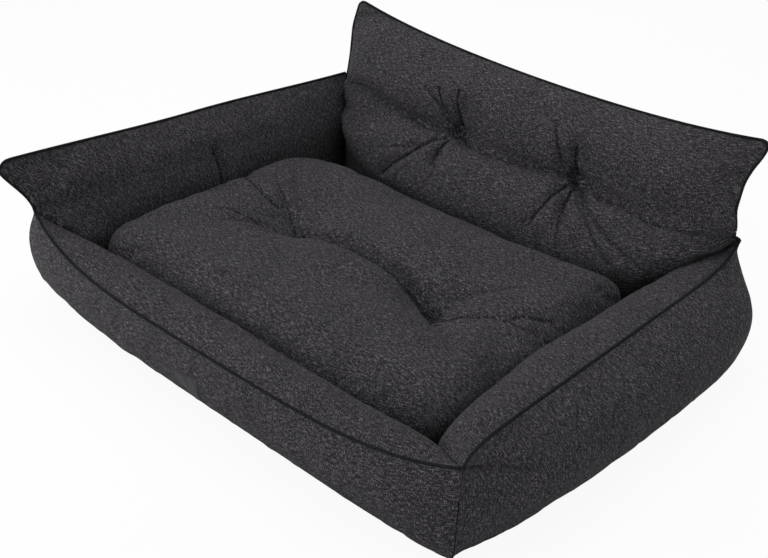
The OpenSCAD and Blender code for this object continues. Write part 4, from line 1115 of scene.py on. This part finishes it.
# polyurethane imitation leather: dark grey, faint pebble grain, a soft low sheen on the grain tops
patchLeather, tree = newMaterial("pebbledImitationLeather")
uv = addNode(tree, "UVMap", {"uv_map": "weave"})
pebbles = addNode(tree, "TexVoronoi", {"Scale": 1000 / 1.2}, {"Vector": uv})
cloud = addNode(tree, "TexNoise", {"Scale": 90.0, "Detail": 4.0}, {"Vector": uv})
tone = addNode(tree, "Mix", {"data_type": "RGBA", 6: linearColour("#29272a"), 7: linearColour("#38363a")}, {0: cloud})
raised = addNode(tree, "Bump", {"Strength": 0.35, "Distance": 0.0003}, {"Height": pebbles.outputs["Distance"]})
shine = addNode(tree, "MapRange", {"To Min": 0.55, "To Max": 0.75}, {"Value": cloud})
leather = addNode(tree, "BsdfPrincipled", {"Specular IOR Level": 0.3}, {"Base Color": tone.outputs[2],
                                                                        "Roughness": shine, "Normal": raised})
addNode(tree, "OutputMaterial", None, {"Surface": leather})
patch.data.materials.append(patchLeather)
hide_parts("label_patch")
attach(patch, "tub")
corners = [(0, 0), (0, 1), (1, 1), (1, 0), (0, 0)]
wide, tall = label["right"] - label["left"], label["topLeft"] - label["foot"]
inS, inT = label["seamIn"] / wide, label["seamIn"] / tall
strands = []
for (s0, t0), (s1, t1) in zip(corners[:-1], corners[1:]):
    run = wide - 2 * label["seamIn"] if s0 != s1 else tall - 2 * label["seamIn"]
    for k in range(int(run / label["pitch"])):
        ends = [(k + 0.15) * label["pitch"] / run, ((k + 0.15) * label["pitch"] + label["stitch"]) / run]
        path = []
        for share in np.linspace(ends[0], ends[1], 5):
            lift = label["stitchRise"] * math.sin(math.pi * (share - ends[0]) / (ends[1] - ends[0])) - label["stitchSink"]
            path.append(onLabel(mix(inS, 1 - inS, mix(s0, s1, share)), mix(inT, 1 - inT, mix(t0, t1, share)),
                                label["stand"] + lift))
        strands.append(sewnCord("labelStitches", np.array(path), label["thread"]))
stitches = joined(strands, buttonThread)
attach(stitches, "tub")
print("label sewn on")

# ---- zip of the mattress cover: woven tape, nylon coil, lacquered stops, slider and pull
zipper = {"pitch": 0.0014, "half": 0.0014, "out": 0.0011, "wire": 0.00032, "tapeThick": 0.0007,
          "along": 151, "over": 9, "sink": 0.0001, "wave": 0.00025}
low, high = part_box("mattress_zip_tape")
xs, zs = np.linspace(low[0], high[0], zipper["along"]), np.linspace(low[2], high[2], zipper["over"])
index = np.arange(xs.size * zs.size).reshape(xs.size, zs.size)
flatPoints = np.array([(x, high[1] - zipper["sink"] - zipper["wave"] * (1 + math.sin(x * 260)
                                                                        * abs(2 * (z - low[2]) / (high[2] - low[2])
                                                                              - 1)), z)
                       for x in xs for z in zs])
faces = [[int(index[i, j]), int(index[i, j + 1]), int(index[i + 1, j + 1]), int(index[i + 1, j])]
         for i in range(xs.size - 1) for j in range(zs.size - 1)]
tape = meshPiece("zipTape", flatPoints, faces, [(flatPoints[k][0], flatPoints[k][2]) for face in faces for k in face])
thicken(tape, zipper["tapeThick"])
# woven polyester zip tape: black, close ribs along its length
tape.data.materials.append(wovenCloth("ribbedZipTape", "#0d0c0e", "#171619", "#2b2a2e", 0.35, 0.9))
low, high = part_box("mattress_zip_coil")
turns = int((high[0] - low[0]) / zipper["pitch"])
angles = np.linspace(0, 2 * math.pi * turns, turns * 8 + 1)
helix = np.stack([np.linspace(low[0] + 0.0004, high[0] - 0.0004, len(angles)),
                  low[1] + zipper["wire"] + zipper["out"] / 2 * (1 + np.sin(angles)),
                  (low[2] + high[2]) / 2 + (zipper["half"] - 0.0001) * np.cos(angles)], 1)
coil = sewnCord("zipCoil", helix, zipper["wire"], 0)
# extruded nylon: black, smooth and slightly glossy
nylon, tree = newMaterial("extrudedBlackNylon")
place = addNode(tree, "TexCoord")
cloud = addNode(tree, "TexNoise", {"Scale": 400.0, "Detail": 2.0}, {"Vector": place.outputs["Object"]})
tone = addNode(tree, "Mix", {"data_type": "RGBA", 6: linearColour("#121114"), 7: linearColour("#222125")}, {0: cloud})
shine = addNode(tree, "MapRange", {"To Min": 0.32, "To Max": 0.5}, {"Value": cloud})
plastic = addNode(tree, "BsdfPrincipled", {"IOR": 1.53}, {"Base Color": tone.outputs[2], "Roughness": shine})
addNode(tree, "OutputMaterial", None, {"Surface": plastic})
coil.data.materials.append(nylon)
for piece, node, slot in ((tape, "mattress_zip_tape", "zip_tape"), (coil, "mattress_zip_coil", "zip_coil")):
    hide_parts(node)
    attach(piece, "mattress")
# die-cast zinc under black lacquer: dark, half glossy, with the metal rubbed bare on a few spots
lacquer, tree = newMaterial("blackLacqueredZinc")
place = addNode(tree, "TexCoord")
wear = addNode(tree, "TexNoise", {"Scale": 900.0, "Detail": 4.0, "Roughness": 0.7}, {"Vector": place.outputs["Object"]})
rubbed = addNode(tree, "MapRange", {"From Min": 0.62, "From Max": 0.72}, {"Value": wear})
tone = addNode(tree, "Mix", {"data_type": "RGBA", 6: linearColour("#17161a"), 7: linearColour("#6f6d70")}, {0: rubbed})
shine = addNode(tree, "MapRange", {"To Min": 0.28, "To Max": 0.48}, {"Value": wear})
raised = addNode(tree, "Bump", {"Strength": 0.15, "Distance": 0.0001}, {"Height": wear})
zinc = addNode(tree, "BsdfPrincipled", {"Metallic": 0.6}, {"Base Color": tone.outputs[2], "Roughness": shine,
                                                           "Normal": raised})
addNode(tree, "OutputMaterial", None, {"Surface": zinc})
for node in ("mattress_zip_stops", "mattress_zip_slider", "mattress_zip_pull"):
    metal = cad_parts[node]
    for slot in metal.material_slots:
        slot.material = lacquer
print("zip finished")
